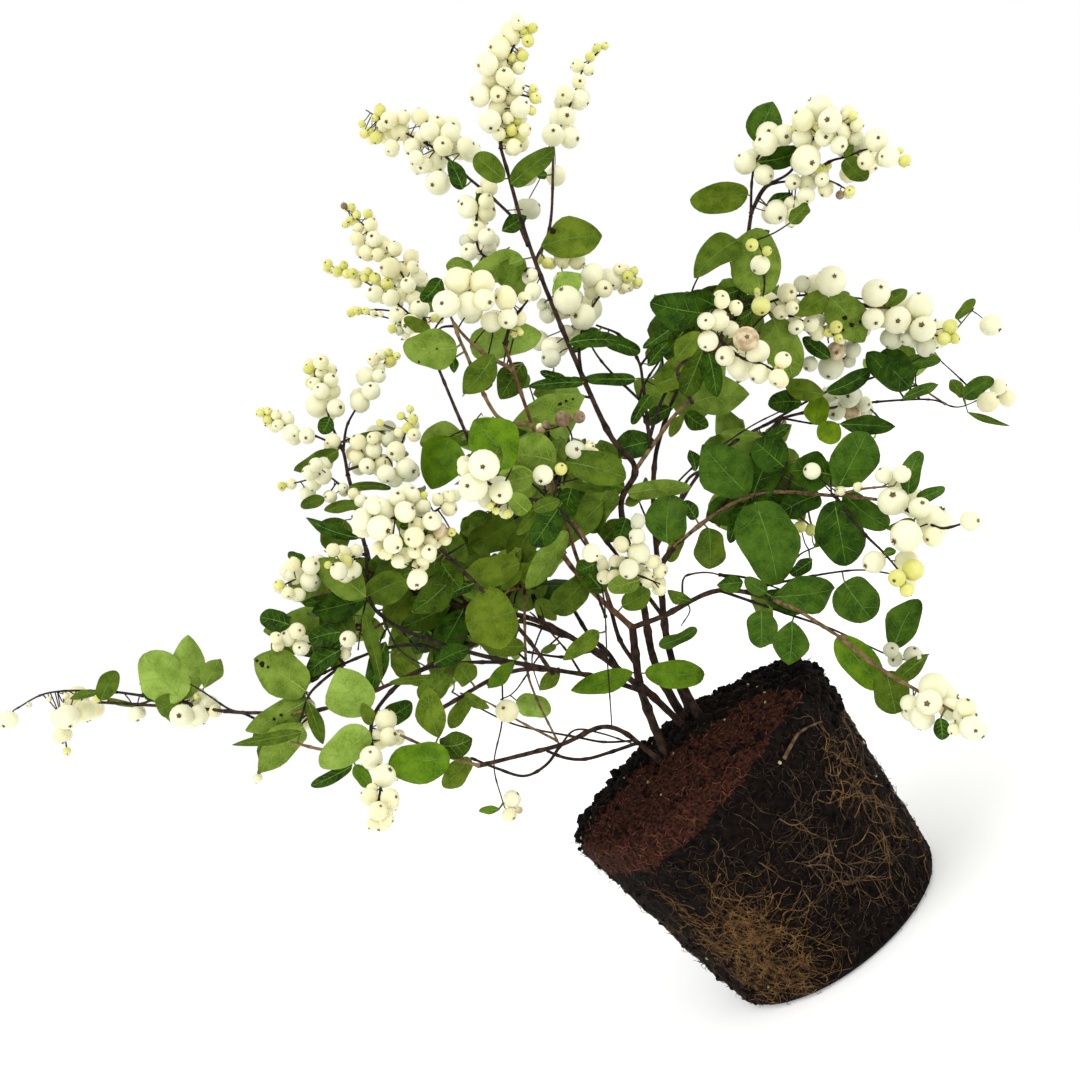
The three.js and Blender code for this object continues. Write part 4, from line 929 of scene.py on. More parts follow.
def stalk(start, end, radii, look):
    """A short, slightly bent stalk from the network to a leaf or berry."""
    mid = (start + end) / 2 + rng.normal(0, STALK_BEND, 3) * np.linalg.norm(end - start)
    line = smooth([start, mid, end], STALK_STEP)
    tube(twig_heaps[look], line, np.linspace(*radii, len(line)), STALK_SIDES)


# Leaves that show: how far apart in depth two that overlap lie, how far a leaf keeps from the twigs
# that would cut it, how far forward that may bring it, how far off a short green stalk reaches, and
# how far before its twig a leaf starts.
LEAF_GAP = 3.0
LEAF_CLEAR = 2.4
LEAF_FORWARD = 8.0
LEAF_BASE_REACH = 7.0
LEAF_BEFORE = 1.5
GAP_TRIES = 12
# The share of two leaves' reach within which they overlap, and the part of a leaf that a twig cuts.
OVERLAP = 0.8
CUT_FROM, CUT_TO, CUT_BESIDE = 0.1, 1.0, 0.48
# How much nearer or farther a leaf's tip lies, as a share of its length, and how far, in radians, it
# turns from the eye: the usual turn and the most.
TIP_NEARER, TIP_FARTHER = -0.30, 0.22
LEAF_TURN, LEAF_TURN_MOST = 0.22, 0.45


def clear_depth(middle, reach, depth, placed):
    """How deep a leaf goes so that it passes behind the ones already placed in front of it."""
    for _ in range(GAP_TRIES):
        over = [d for (x, y, r, d) in placed if math.dist((x, y), middle) < OVERLAP * (r + reach)]
        clash = [d for d in over if abs(d - depth) < LEAF_GAP]
        if not clash:
            return depth
        depth = max(clash) + LEAF_GAP
    return depth


def forward_of_twigs(base, tip, width, toward):
    """How far a leaf comes nearer, or goes back behind a fore twig, so that nothing cuts through it."""
    ahead = tip - base
    length = np.linalg.norm(ahead)
    ahead = ahead / length
    normal = unit(toward - ahead * np.dot(toward, ahead))
    rel = network.points - base
    along = rel @ ahead / length
    beside = np.abs(rel @ np.cross(ahead, normal))
    crossed = (along > CUT_FROM) & (along < CUT_TO) & (beside < CUT_BESIDE * width)
    above = rel @ normal
    before = above[crossed & network.fore]
    before = before[np.abs(before) < LEAF_FORWARD]
    if len(before):
        return min(before.min() - LEAF_CLEAR, 0.0)
    above = above[crossed]
    shift = 0.0
    for height in np.sort(above):
        if shift - LEAF_CLEAR < height < min(shift + LEAF_CLEAR, LEAF_FORWARD):
            shift = height + LEAF_CLEAR
    return shift


def seen_blade(foot, end, wide, depth, top_shows):
    """Base, tip, facing and width of a leaf that shows between two pixels."""
    base = seen(*foot, depth)
    scale = mm_per_px(base)
    long = math.dist(foot, end) * scale
    tip = seen(*end, base[1] + rng.uniform(TIP_NEARER, TIP_FARTHER) * long)
    toward = unit(EYE - base)
    nearer = toward * forward_of_twigs(base, tip, wide * scale, toward)
    base, tip = base + nearer, tip + nearer
    facing = toward if top_shows else -toward
    turn = float(np.clip(rng.normal(0, LEAF_TURN), -LEAF_TURN_MOST, LEAF_TURN_MOST))
    facing = facing * math.cos(turn) + np.cross(unit(tip - base), facing) * math.sin(turn)
    return base, tip, facing, wide * scale / math.cos(turn)


def shown_too(points):
    """Keeps a leaf that shows and notes where it does."""
    rows = points.reshape(len(STATIONS), -1, 3)
    between = (rows[:-1] + rows[1:]) / 2
    shown.mark(np.vstack([points, between.reshape(-1, 3)]))
    return True


def build_seen_leaves():
    """The leaves that show best, each on the nearest twig."""
    placed = []
    for bx, by, tx, ty, wide, tone, *carriers in LEAVES:
        root = network.at_pixel(bx, by, carriers)
        middle = ((bx + tx) / 2, (by + ty) / 2)
        reach = max(wide, math.dist((bx, by), (tx, ty))) / 2
        depth = clear_depth(middle, reach, root[1] - LEAF_BEFORE, placed)
        placed.append((*middle, reach, depth))
        is_top = tone in TOPS
        base, tip, facing, width = seen_blade((bx, by), (tx, ty), wide, depth, is_top)
        if np.linalg.norm(base - root) > LEAF_BASE_REACH:
            stalk(root, base, LONG_STALK, "green" if base[1] > root[1] else "dark")
        else:
            stalk(root, base + unit(tip - base) * 0.6, SHORT_STALK, "green")
        top, under = (tone, "l") if is_top else ("m", tone)
        points = leaf(base, tip, facing, width, top, under, shown_too)
        add_spots(points, middle, reach)


# Spots: how many corners they have, and how far their edge and middle lie off the leaf.
SPOT_CORNERS = 9
SPOT_LIFT = 0.7
SPOT_DOME = 0.2


def add_spots(points, middle, reach):
    """The dark spots that fall on a leaf."""
    fan = [(0, 1 + j, 1 + (j + 1) % SPOT_CORNERS) for j in range(SPOT_CORNERS)]
    for x, y, r in SPOTS:
        if math.hypot(x - middle[0], y - middle[1]) > 0.9 * reach:
            continue
        near = np.argsort(np.linalg.norm(pixels(points) - (x, y), axis=1))[:4]
        ray = AXES.T @ pixel_ray(x, y)
        place = EYE + ray * (shown.away(points[near]).min() - SPOT_LIFT)
        towards = unit(EYE - place)
        across = unit(np.cross(towards, UP))
        other = np.cross(towards, across)
        size = r * mm_per_px(place)
        ring = [place + (across * math.cos(a) + other * math.sin(a)) * size * rng.uniform(0.7, 1.15)
                for a in np.arange(SPOT_CORNERS) / SPOT_CORNERS * 2 * math.pi]
        heap_of(leaf_heaps, "spot").add(np.array([place + towards * SPOT_DOME] + ring), fan)


def berry_shape(segments, rings):
    """A round berry with a shallow dimple at its top."""
    points = [(0, 0, -1.0)]
    for i in range(1, rings):
        a = math.pi * i / rings
        flat = math.sin(a)
        high = -math.cos(a) * (1.0 if a < 2 else 1.0 - 0.10 * ((a - 2) / 1.14)**4)
        for j in range(segments):
            b = 2 * math.pi * j / segments
            points.append((flat * math.cos(b), flat * math.sin(b), high))
    points.append((0, 0, 0.88))
    faces = []
    top = len(points) - 1
    for j in range(segments):
        k = (j + 1) % segments
        faces.append((0, 1 + k, 1 + j))
        for i in range(rings - 2):
            low, high = 1 + i * segments, 1 + (i + 1) * segments
            faces.append((low + j, low + k, high + k, high + j))
        faces.append((top, top - segments + j, top - segments + k))
    return np.array(points), faces


def calyx_shape():
    """Five small scales round a dark middle."""
    corners = 10
    ring = []
    faces = []
    for j in range(corners):
        b = 2 * math.pi * j / corners
        k = (j + 1) % corners
        reach, high = (0.23, 1.06) if j % 2 else (0.15, 0.94)
        ring.append((reach * math.cos(b), reach * math.sin(b), high))
        faces += [(0, 1 + j, 1 + k), (1 + corners, 1 + k, 1 + j)]
    return np.array([(0, 0, 0.93), *ring, (0, 0, 0.86)]), faces


# Shapes of one radius: a berry that shows, one that hardly shows, and the star at a berry's end.
BERRY = berry_shape(16, 10)
PLAIN_BERRY = berry_shape(12, 8)
CALYX = calyx_shape()


def turned(direction):
    """Rotation that carries +Z onto a direction."""
    z = unit(direction)
    x = unit(np.cross([0.3, 0.9, 0.2], z))
    return np.stack([x, np.cross(z, x), z], 1)


def berry(centre, radius, out, tone, shape):
    """One berry with its star facing out."""
    spin = turned(out)
    squash = np.array([1, rng.uniform(0.95, 1.0), rng.uniform(0.92, 1.06)])
    heap_of(fruit_heaps, tone).add(centre + (shape[0] * squash * radius) @ spin.T, shape[1])
    star = CALYX[0] * squash * radius
    star[:, :2] *= rng.uniform(0.7, 1.15)
    heap_of(fruit_heaps, "star").add(centre + star @ spin.T, CALYX[1])


# Berries: how much of their distance remains where two are pressed together, how many rounds of
# pushes spread them, the least push, how clearly another twig has to be nearer to carry one, and how
# far a green stalk reaches.
TOUCH = 0.95
SPREAD_ROUNDS = 85
SPREAD_PUSH = 0.05
NEARER_TWIG = 0.75
GREEN_STALK = 8
# Hidden berries: how many for each that shows, less a few, tries for each, sizes and distances behind
# as shares of a radius, and the share of the touching distance and of the rim that count as clear.
HIDDEN_A_BERRY = 1.1
HIDDEN_LESS = 2
HIDDEN_TRIES = 9
HIDDEN_SIZES = (0.85, 1.15)
HIDDEN_BEHIND = (0.8, 2.0)
HIDDEN_DRIFT = 0.45
HIDDEN_TOUCH = 0.88
HIDDEN_SHARE = 0.6


def push_apart(centres, radii, depth):
    """Moves the depths of berries that overlap. Gives whether any did."""
    moved = False
    for i in range(len(centres)):
        for j in range(i):
            apart = np.linalg.norm(centres[i] - centres[j])
            need = TOUCH * (radii[i] + radii[j])
            if apart < need:
                push = 0.5 * (need - apart) + SPREAD_PUSH
                sign = 1 if depth[i] >= depth[j] else -1
                depth[i] += sign * push
                depth[j] -= sign * push
                moved = True
    return moved


def spread_depths(places, radii, start):
    """Moves berries nearer or farther along their own line of sight until they only touch."""
    rays = [unit(p - EYE) for p in places]
    depth = np.array(start, float)

    def centres():
        return [p + ray * d for p, ray, d in zip(places, rays, depth)]

    for _ in range(SPREAD_ROUNDS):
        if not push_apart(centres(), radii, depth):
            break
    return centres()


def disc_points(centre, radius):
    """Places round the edge of a berry as the view shows it."""
    turn = np.arange(8) / 8 * 2 * math.pi
    return centre + radius * (np.cos(turn)[:, None] * AXES[0] + np.sin(turn)[:, None] * AXES[1])


def clear_of(centre, radius, others, radii, share):
    """Whether a berry is far enough from others, as a share of the distance at which they touch."""
    return all(np.linalg.norm(centre - c) > share * (radius + r) for c, r in zip(others, radii))


def front_berries(rows, carrier):
    """Centres, radii and tones of the berries that show, about the twig that carries them."""
    axis = network.of({carrier})
    spots = pixels(axis)
    places, radii, starts = [], [], []
    for x, y, wide, _ in rows:
        near = axis[int(np.argmin(np.linalg.norm(spots - (x, y), axis=1)))]
        place = seen(x, y, near[1])
        radius = wide / 2 * mm_per_px(place)
        start = -0.5 * radius + rng.uniform(-1.5, 1.5)
        places.append(place)
        radii.append(radius)
        starts.append(start - shown.before_leaves(place + unit(place - EYE) * start, radius))
    return spread_depths(places, radii, starts), radii, [tone for *_, tone in rows]


def add_hidden(centres, radii, tones):
    """Adds about as many berries behind the ones that show."""
    front = len(centres)
    hidden = max(0, int(HIDDEN_A_BERRY * front) - HIDDEN_LESS)
    for _ in range(HIDDEN_TRIES * hidden):
        if len(centres) >= front + hidden:
            break
        pick = int(rng.integers(front))
        radius = radii[pick] * rng.uniform(*HIDDEN_SIZES)
        drift = rng.normal(0, HIDDEN_DRIFT, 3) * radius
        behind = unit(centres[pick] - EYE) * (radius + radii[pick]) * rng.uniform(*HIDDEN_BEHIND)
        centre = centres[pick] + behind + drift
        if not clear_of(centre, radius, centres, radii, HIDDEN_TOUCH):
            continue
        if shown.hides(disc_points(centre, radius), radius, HIDDEN_SHARE):
            centres.append(centre)
            radii.append(radius)
            tones.append("c" if tones[pick] in "yns" else tones[pick])


def hang(centre, radius, tone, carrier, shape):
    """A berry on a stalk from the twig that carries it, or from one that is clearly nearer."""
    root = network.nearest(centre, {carrier})
    other = network.nearest(centre)
    if np.linalg.norm(centre - other) < NEARER_TWIG * np.linalg.norm(centre - root) - radius:
        root = other
    out = unit(centre - root) + 0.55 * unit(EYE - centre) * (rng.random() < 0.6) + rng.normal(0, 0.4, 3)
    berry(centre, radius, out, tone, shape)
    room.add_berry(centre, radius)
    reach = np.linalg.norm(centre - root)
    if reach > radius:
        look = "green" if reach < GREEN_STALK else "dark"
        stalk(root, centre - unit(centre - root) * radius * 0.8, BERRY_STALK, look)


def build_seen_fruit():
    """Berries where they show, and more behind them, round the twig that carries them."""
    for carrier, rows in FRUIT.items():
        centres, radii, tones = front_berries(rows, carrier)
        for centre, radius in zip(centres, radii):
            shown.mark_disc(centre, radius)
        add_hidden(centres, radii, tones)
        for k, (centre, radius, tone) in enumerate(zip(centres, radii, tones)):
            hang(centre, radius, tone, carrier, BERRY if k < len(rows) else PLAIN_BERRY)


# How each spray is filled behind what shows: leaf pairs, berry bunches, and the tones of its leaves.
FILL = {
    "top_spike": (0, 1, "m"), "second_spike": (0, 1, "m"), "top_left": (1, 1, "m"),
    "leader_collar": (5, 1, "kmo"), "upper_left": (3, 3, "dkm"), "front_upper": (4, 1, "kmo"),
    "upper_right": (5, 1, "dkmo"), "top_right": (6, 2, "dkmo"), "shoulder": (9, 1, "dkmo"),
    "shoulder_front": (2, 0, "d"), "right_upper": (8, 2, "dkmo"), "right_outer": (6, 1, "dkm"),
    "left_tops": (5, 2, "dkm"), "left_side": (1, 0, "m"), "big_left": (2, 1, "dkm"),
    "left_low": (3, 1, "dkm"), "centre_front": (3, 1, "kmo"), "centre_leaves": (14, 1, "kmmo"),
    "mid_left": (17, 0, "dkmmo"), "low_centre": (4, 0, "kmo"), "right_leaves": (13, 0, "dkm"),
    "right_berries": (5, 1, "dkm"), "right_low": (5, 0, "dkm"), "hanging_tip": (5, 1, "dkm"),
    "low_left": (8, 1, "dkm"), "low_left_front": (7, 1, "dkmo"), "far_leaves": (3, 0, "m"),
    "far_tip": (3, 0, "m"), "mid_low": (6, 1, "dkmo"), "back_right": (15, 3, "dkmo"),
    "back_centre": (16, 4, "dkmo"), "back_left": (15, 2, "dkmo"),
}
BEHIND = {"back_right", "back_centre", "back_left"}
# How many pairs a shoot carries at most, leaves and tries for each pair of the table, and the depth
# where leaves begin to face the back.
SHOOT_PAIRS = 2
LEAVES_A_PAIR = 5.5
TRIES_A_PAIR = 18
FRONT_DEPTH = 20.0
# A shoot rises by this share of its length, its pairs share this much of it, its leaves have lengths
# in this range and widths as a share of that, and the leaves at its tip are smaller.
SHOOT_RISE = 0.08
SHOOT_STEP = 2.0
LEAFY_SHARE = 0.95
FILL_LENGTHS = (19, 31)
FILL_WIDTHS = (0.6, 0.9)
TIP_LEAF = 0.72
DARK_CHANCE = 0.7
# A bunch: how many berries, their radius, and tries for each.
BUNCH_COUNT = (5, 10)
BUNCH_RADIUS = (3.6, 5.2)
BUNCH_TRIES = 12
SPRAY_INNER, SPRAY_OUTER = 0.3, 0.86
# How far the middles of two leaves keep apart, how far leaves keep from a berry and berries from a
# leaf, and how far a leaf's edge lies from its middle at most.
LEAF_APART = 8.5
BERRY_MARGIN = 1.3
BUNCH_MARGIN = 0.6
LEAF_REACH = 19.0
# Shoots along the limbs themselves: one every so many points, from this share of the length on.
DRESS_STEP = 5
DRESS_FROM = 0.3
DRESS_REACH = (10, 36)
TEST_STEP = 3.0


class Room:
    """Where berries and the leaves of the fill are, so that they leave one another room."""

    def __init__(self):
        self.berries = []
        self.radii = []
        self.middles = []
        self.leaves = []

    def add_berry(self, centre, radius):
        """Notes where a berry is."""
        self.berries.append(centre)
        self.radii.append(radius)

    def free(self, points, middle):
        """Whether a leaf's points keep away from other leaves and from berries."""
        if self.middles and np.linalg.norm(np.array(self.middles) - middle, axis=1).min() < LEAF_APART:
            return False
        near = np.linalg.norm(np.array(self.berries) - middle, axis=1) < np.array(self.radii) + LEAF_REACH
        return all(np.linalg.norm(points - centre, axis=1).min() >= radius + BERRY_MARGIN
                   for centre, radius in zip(np.array(self.berries)[near], np.array(self.radii)[near]))

    def for_leaf(self, test):
        """The test of a leaf's points, with room for the leaf as a further condition."""
        def passes(points):
            middle = points.mean(axis=0)
            if not self.free(points, middle) or not test(points):
                return False
            self.middles.append(middle)
            self.leaves.append(points)
            return True
        return passes

    def points_near(self, centre, reach):
        """Points of the fill's leaves near a place."""
        reach += LEAF_REACH
        near = [p for m, p in zip(self.middles, self.leaves) if np.linalg.norm(m - centre) < reach]
        return np.vstack(near) if near else np.full((1, 3), np.inf)


room = Room()


def tilt(base, ahead, side):
    """Which way the top of a leaf of the fill faces: up, and out from the middle of the plant."""
    depth_side = -1.0 if base[1] < FRONT_DEPTH else 1.0
    sideways = rng.random() < 0.4
    face = np.array([np.sign(base[0]), 0.4 * depth_side, 0.0] if sideways else [0.0, depth_side, 0.0])
    up = unit(UP * 0.5 + face * 0.7 + rng.normal(0, 0.35, 3))
    return unit(np.cross(ahead, side)) if abs(np.dot(up, ahead)) > 0.9 else up


def fill_leaf(base, ahead, side, size, tones):
    """A leaf of a side shoot on its stalk. Gives whether there was room for it."""
    up = tilt(base, ahead, side)
    foot = base + ahead * 1.6
    tone = tones[int(rng.integers(len(tones)))]
    under = "l" if rng.random() < 0.7 else "p"
    flat = unit(up - ahead * np.dot(up, ahead))
    toward = unit(EYE - base)
    broad = abs(np.dot(flat, toward)) > 0.4 and abs(np.dot(ahead, toward)) < 0.75
    accept = room.for_leaf(shown.fits if broad else shown.hides)
    width = size * rng.uniform(*FILL_WIDTHS)
    if leaf(foot, foot + ahead * size, up, width, tone, under, accept, True) is None:
        return False
    stalk(base, foot + ahead * 0.5, SHORT_STALK, "green")
    return True


def shoot(name, start, end, pairs, tones):
    """A side shoot from the network that carries leaf pairs, each turned a quarter from the last."""
    bend = (start + end) / 2 + np.array([0, 0, SHOOT_RISE * np.linalg.norm(end - start)])
    line = smooth([start, bend, end], SHOOT_STEP)
    if shown.pierced(line):
        return 0
    along = unit(end - start)
    side = unit(np.cross(along, UP) + rng.normal(0, 0.15, 3))
    other = np.cross(along, side)
    made = 0
    for k in range(pairs):
        share = 1 - k / pairs * LEAFY_SHARE
        base = line[int(share * (len(line) - 1))]
        across = side if k % 2 == 0 else other
        size = rng.uniform(*FILL_LENGTHS) * (TIP_LEAF if k == 0 else 1)
        for way in (-1, 1):
            ahead = unit(way * across + along * rng.uniform(0.3, 0.9) + rng.normal(0, 0.2, 3))
            made += fill_leaf(base, ahead, side, size, tones)
    if made:
        grow_twig(name, line, *SHOOT_TWIG, "dark" if rng.random() < DARK_CHANCE else "tan", FILL_TWIG_SIDES)
    return made


def bunch_berries(centre):
    """Seeded centres and radii for a bunch, clear of one another and of leaves."""
    count = int(rng.integers(*BUNCH_COUNT))
    size = rng.uniform(*BUNCH_RADIUS)
    leaves = room.points_near(centre, 4 * size)
    centres, radii = [], []
    for _ in range(count * BUNCH_TRIES):
        if len(centres) >= count:
            break
        radius = size * rng.uniform(0.75, 1.1)
        spot = centre + rng.normal(0, 0.55, 3) * radius * (1 + 0.35 * len(centres))
        hidden = shown.hides(disc_points(spot, radius), radius + 1.5, 0.7)
        off_leaves = np.linalg.norm(leaves - spot, axis=1).min() >= radius + BUNCH_MARGIN
        if hidden and off_leaves and clear_of(spot, radius, centres, radii, TOUCH):
            centres.append(spot)
            radii.append(radius)
    return centres, radii


def bunch(name, centre, root):
    """A bunch of berries round a place inside a spray."""
    centres, radii = bunch_berries(centre)
    line = smooth([root, (root + centre) / 2 + (0, 0, 2), centre], SHOOT_STEP)
    if not centres or shown.pierced(line):
        return
    grow_twig(name, line, *BUNCH_TWIG, "dark", FILL_TWIG_SIDES)
    for spot, radius in zip(centres, radii):
        out = unit(spot - centre + rng.normal(0, 1.2, 3))
        # One berry in four of a bunch takes g, the green-grey of painted shade.
        berry(spot, radius, out, "wwcg"[int(rng.integers(4))], PLAIN_BERRY)
        room.add_berry(spot, radius)
        foot = line[-1 - int(rng.integers(3))]
        stalk(foot, spot - unit(spot - centre) * radius * 0.7, BUNCH_STALK, "green")


def dress_limbs():
    """Side shoots along the upper part of each limb, so that the sprays run on into one another."""
    for name in LIMBS:
        line = network.of({name})
        behind = name.startswith("bough_back")
        for place in line[int(DRESS_FROM * len(line))::DRESS_STEP]:
            aim = unit(rng.normal(0, 1, 3) + (0, 0.3, 0.3))
            spot = place + aim * rng.uniform(*DRESS_REACH)
            if shown.hides(smooth([place, spot], TEST_STEP), 0.0, 0.8):
                shoot("dress_" + name, place, spot, 2 if behind else 1, "dkmo")


def spray_box(name):
    """The middle of a spray's box and half its size."""
    low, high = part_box("spray_" + name)
    low, high = np.array(low) / MM, np.array(high) / MM
    return (low + high) / 2, (high - low) / 2


def spot_in(name, centre, half):
    """A seeded place inside a spray, and in its far half unless it's a spray at the back."""
    aim = unit(rng.normal(0, 1, 3))
    if name not in BEHIND:
        aim[1] = abs(aim[1])
    return centre + aim * half * rng.uniform(SPRAY_INNER, SPRAY_OUTER)


def build_fill():
    """What grows behind the leaves and berries that show, inside the box of each spray."""
    dress_limbs()
    for name, (pairs, bunches, tones) in FILL.items():
        centre, half = spray_box(name)
        leaves, tries = 0, 0
        while leaves < LEAVES_A_PAIR * pairs and tries < TRIES_A_PAIR * pairs:
            tries += 1
            spot = spot_in(name, centre, half)
            root = network.somewhere_near(spot)
            if shown.hides(smooth([root, spot], TEST_STEP), 0.0, 0.7, True):
                leaves += shoot("fill_" + name, root, spot, min(SHOOT_PAIRS, pairs), tones)
        for _ in range(bunches):
            spot = spot_in(name, centre, half)
            bunch("fill_" + name, spot, network.nearest(spot))


# The root ball: how far its drawn wall and dome lie inside the solid, how many rows and columns they
# have, and how much the ball leans.
BASE_RADIUS = 57.0
RIM_RADIUS = 71.0
DOME_RISE = 12.0
WALL_INSET = 2.2
DOME_INSET = 2.5
DOME_RADIUS = RIM_RADIUS - WALL_INSET - DOME_INSET
BALL_AROUND = 260
WALL_ROWS = 90
DOME_ROWS = 46
LEAN = np.array([-0.028, 0.0, 0.0])
UNDERSIDE, WALL, DOME = range(3)
# The lower edge of the reddish band: degrees round the ball, and the height there.
BAND_ANGLES = [-170, -158, -140, -118, -104, -94, -80, -69, -59, -45]
BAND_HEIGHTS = [96, 86, 85, 87, 90, 93, 96, 99, 102, 106]
BAND_START, BAND_END = -168, -38
BAND_INNER = 30
BAND_WANDER = 2.5
# How high the lumps of the soil stand: coarse and fine ones, and clods on the dome.
WALL_COARSE, WALL_FINE = 1.1, 0.75
DOME_COARSE, DOME_FINE, DOME_CLOD = 1.8, 1.1, 2.6


def leaned(place):
    """The ball isn't quite upright on its base."""
    return place + LEAN * place[2]


def wall_radius(z):
    """The radius of the drawn wall at a height."""
    return BASE_RADIUS + (RIM_RADIUS - BASE_RADIUS) * z / RIM - WALL_INSET


def turbulence(point, scale, octaves=4):
    """Layered noise at a place."""
    return noise.fractal(Vector(point * scale), 0.9, 2.1, octaves)


def coarse_lumps(point):
    """Lumps a centimetre across."""
    return turbulence(point, 0.10)


def fine_lumps(point):
    """Crumbs of a few millimetres."""
    return turbulence(point + 50, 0.42, 3)


def dome_lumps(point):
    """How far lumps and clods raise the dome."""
    clod = abs(turbulence(point + 90, 0.22, 3))
    return DOME_COARSE * coarse_lumps(point) + DOME_FINE * fine_lumps(point) + DOME_CLOD * clod


def is_red(point):
    """Whether a place on the ball belongs to the reddish, fibrous band."""
    angle = math.degrees(math.atan2(point[1], point[0]))
    if not BAND_START < angle < BAND_END:
        return False
    flat = math.hypot(point[0], point[1])
    shift = BAND_WANDER * noise.noise(Vector(point * 0.12))
    if point[2] < RIM - 1:
        return point[2] + shift > float(np.interp(angle, BAND_ANGLES, BAND_HEIGHTS))
    return flat + 3 * shift > BAND_INNER


def dome_height(share):
    """How high the dome is at a share of the way in from its edge."""
    return RIM + DOME_RISE * (1 - (1 - share)**2)


def ball_grid():
    """Radius, height and zone of each row, from the middle of the underside to the top of the dome."""
    rows = [(BASE_RADIUS * share + 0.5, 0.0, UNDERSIDE) for share in (0.0, 0.25, 0.5, 0.75)]
    for i in range(WALL_ROWS + 1):
        z = RIM * i / WALL_ROWS
        corner = 3.0 * max(0.0, 1 - z / 3.0)**2 + 3.5 * max(0.0, 1 - (RIM - z) / 4.0)**2
        rows.append((wall_radius(z) - corner, z, WALL))
    for i in range(1, DOME_ROWS + 1):
        share = i / DOME_ROWS
        rows.append((DOME_RADIUS * (1 - share) + 0.3, dome_height(share), DOME))
    return rows


def ball_place(flat, z, zone, angle):
    """A place on the ball's surface, as rough as the soil is there."""
    p = np.array([flat * math.cos(angle), flat * math.sin(angle), z])
    if zone == UNDERSIDE:
        return p
    if zone == DOME:
        return leaned(p + UP * dome_lumps(p))
    out = np.array([math.cos(angle), math.sin(angle), 0.0])
    fade = min(1.0, z / 4.0)
    return leaned(p + out * fade * (WALL_COARSE * coarse_lumps(p) + WALL_FINE * fine_lumps(p)))


def build_ball():
    """Crumbly soil with a reddish band round its upper front edge."""
    rows = ball_grid()
    turn = np.arange(BALL_AROUND) / BALL_AROUND * 2 * math.pi
    points = np.array([ball_place(*row, angle) for row in rows for angle in turn])
    looks = {"soil": [], "coir": []}
    for face in wall_faces(len(rows), BALL_AROUND):
        middle = (points[face[0]] + points[face[2]]) / 2
        looks["coir" if is_red(middle) else "soil"].append(face)
    looks["soil"] += end_faces(len(rows), BALL_AROUND)
    for look, faces in looks.items():
        used = sorted({i for face in faces for i in face})
        new = {old: i for i, old in enumerate(used)}
        heap = Heap()
        heap.add(points[used], [tuple(new[i] for i in face) for face in faces])
        heap.make("ball_" + look, MATERIALS[look], "soil", ["root_ball"])


def on_wall(angle, z, lift):
    """A place just proud of the ball's wall."""
    r = wall_radius(z) + lift
    p = np.array([r * math.cos(angle), r * math.sin(angle), z])
    out = np.array([math.cos(angle), math.sin(angle), 0.0])
    return leaned(p + out * (WALL_COARSE * coarse_lumps(p)))


def on_dome(flat, angle):
    """A place just proud of the dome."""
    p = np.array([flat * math.cos(angle), flat * math.sin(angle), dome_height(1 - flat / DOME_RADIUS)])
    return leaned(p + UP * (dome_lumps(p) + 0.2))


def any_angle():
    """A seeded angle round the ball."""
    return rng.uniform(-math.pi, math.pi)


def any_heading():
    """A seeded direction on the wall."""
    return rng.uniform(0, 2 * math.pi)


# Roots grow by steps of this length between two heights, and fork at this share of the steps. Those
# under a radius have three sides.
ROOT_STEP = 1.5
ROOT_LOW, ROOT_HIGH = 1.5, RIM - 2
FORK_CHANCE = 0.14
FINE_ROOT = 0.2


def root(angle, z, heading, length, thick, look, forks=0, wild=0.2):
    """A root that wanders over the wall. A heading of 0 goes round the ball, a quarter turn up."""
    line = [on_wall(angle, z, 0.35)]
    curl = 0.0
    course = heading
    for _ in range(int(length / ROOT_STEP)):
        curl = 0.6 * curl + rng.normal(0, wild)
        heading += curl - 0.12 * (heading - course)
        r = wall_radius(z)
        angle += ROOT_STEP * math.cos(heading) / r
        z += ROOT_STEP * math.sin(heading)
        if not ROOT_LOW < z < ROOT_HIGH:
            break
        line.append(on_wall(angle, z, rng.uniform(0.15, 0.7)))
        if forks and rng.random() < FORK_CHANCE:
            side = heading + rng.choice([-1, 1]) * rng.uniform(0.4, 1.1)
            root(angle, z, side, length * rng.uniform(0.3, 0.55), thick * 0.7, look, forks - 1, wild)
    if len(line) > 3:
        radii = np.linspace(thick, thick * 0.4, len(line))
        tube(root_heaps[look], np.array(line), radii, 4 if thick > FINE_ROOT else 3)


def build_tangles():
    """The golden tangle low on the left, branching roots at mid height, and some all round."""
    for _ in range(250):
        angle = math.radians(rng.normal(-121, 13))
        z = float(np.clip(rng.normal(30, 18), 3, 80))
        root(angle, z, any_heading(), rng.uniform(8, 30), rng.uniform(0.10, 0.25), "gold", 1, 0.27)
    for _ in range(30):
        angle = math.radians(rng.uniform(-106, -44))
        z = float(rng.uniform(36, 88))
        down = -math.pi / 2 + rng.normal(0.35, 0.5)
        root(angle, z, down, rng.uniform(16, 50), rng.uniform(0.14, 0.34), "pale", 2, 0.15)
    for _ in range(30):
        angle = math.radians(rng.normal(-46, 5))
        z = float(rng.uniform(30, 86))
        root(angle, z, any_heading(), rng.uniform(8, 22), rng.uniform(0.18, 0.34), "gold")
    for _ in range(150):
        angle = math.radians(rng.uniform(-40, 195))
        z = float(rng.uniform(4, 90))
        look = "gold" if rng.random() < 0.4 else "pale"
        root(angle, z, any_heading(), rng.uniform(14, 44), rng.uniform(0.15, 0.32), look, 1)


# The one thick root: degrees round the ball and height, and its radius at both ends.
THICK_ROOT = ((-66, 90), (-60, 92), (-55, 93), (-48, 91), (-41, 88))
THICK_ROOT_RADII = (0.9, 0.4)
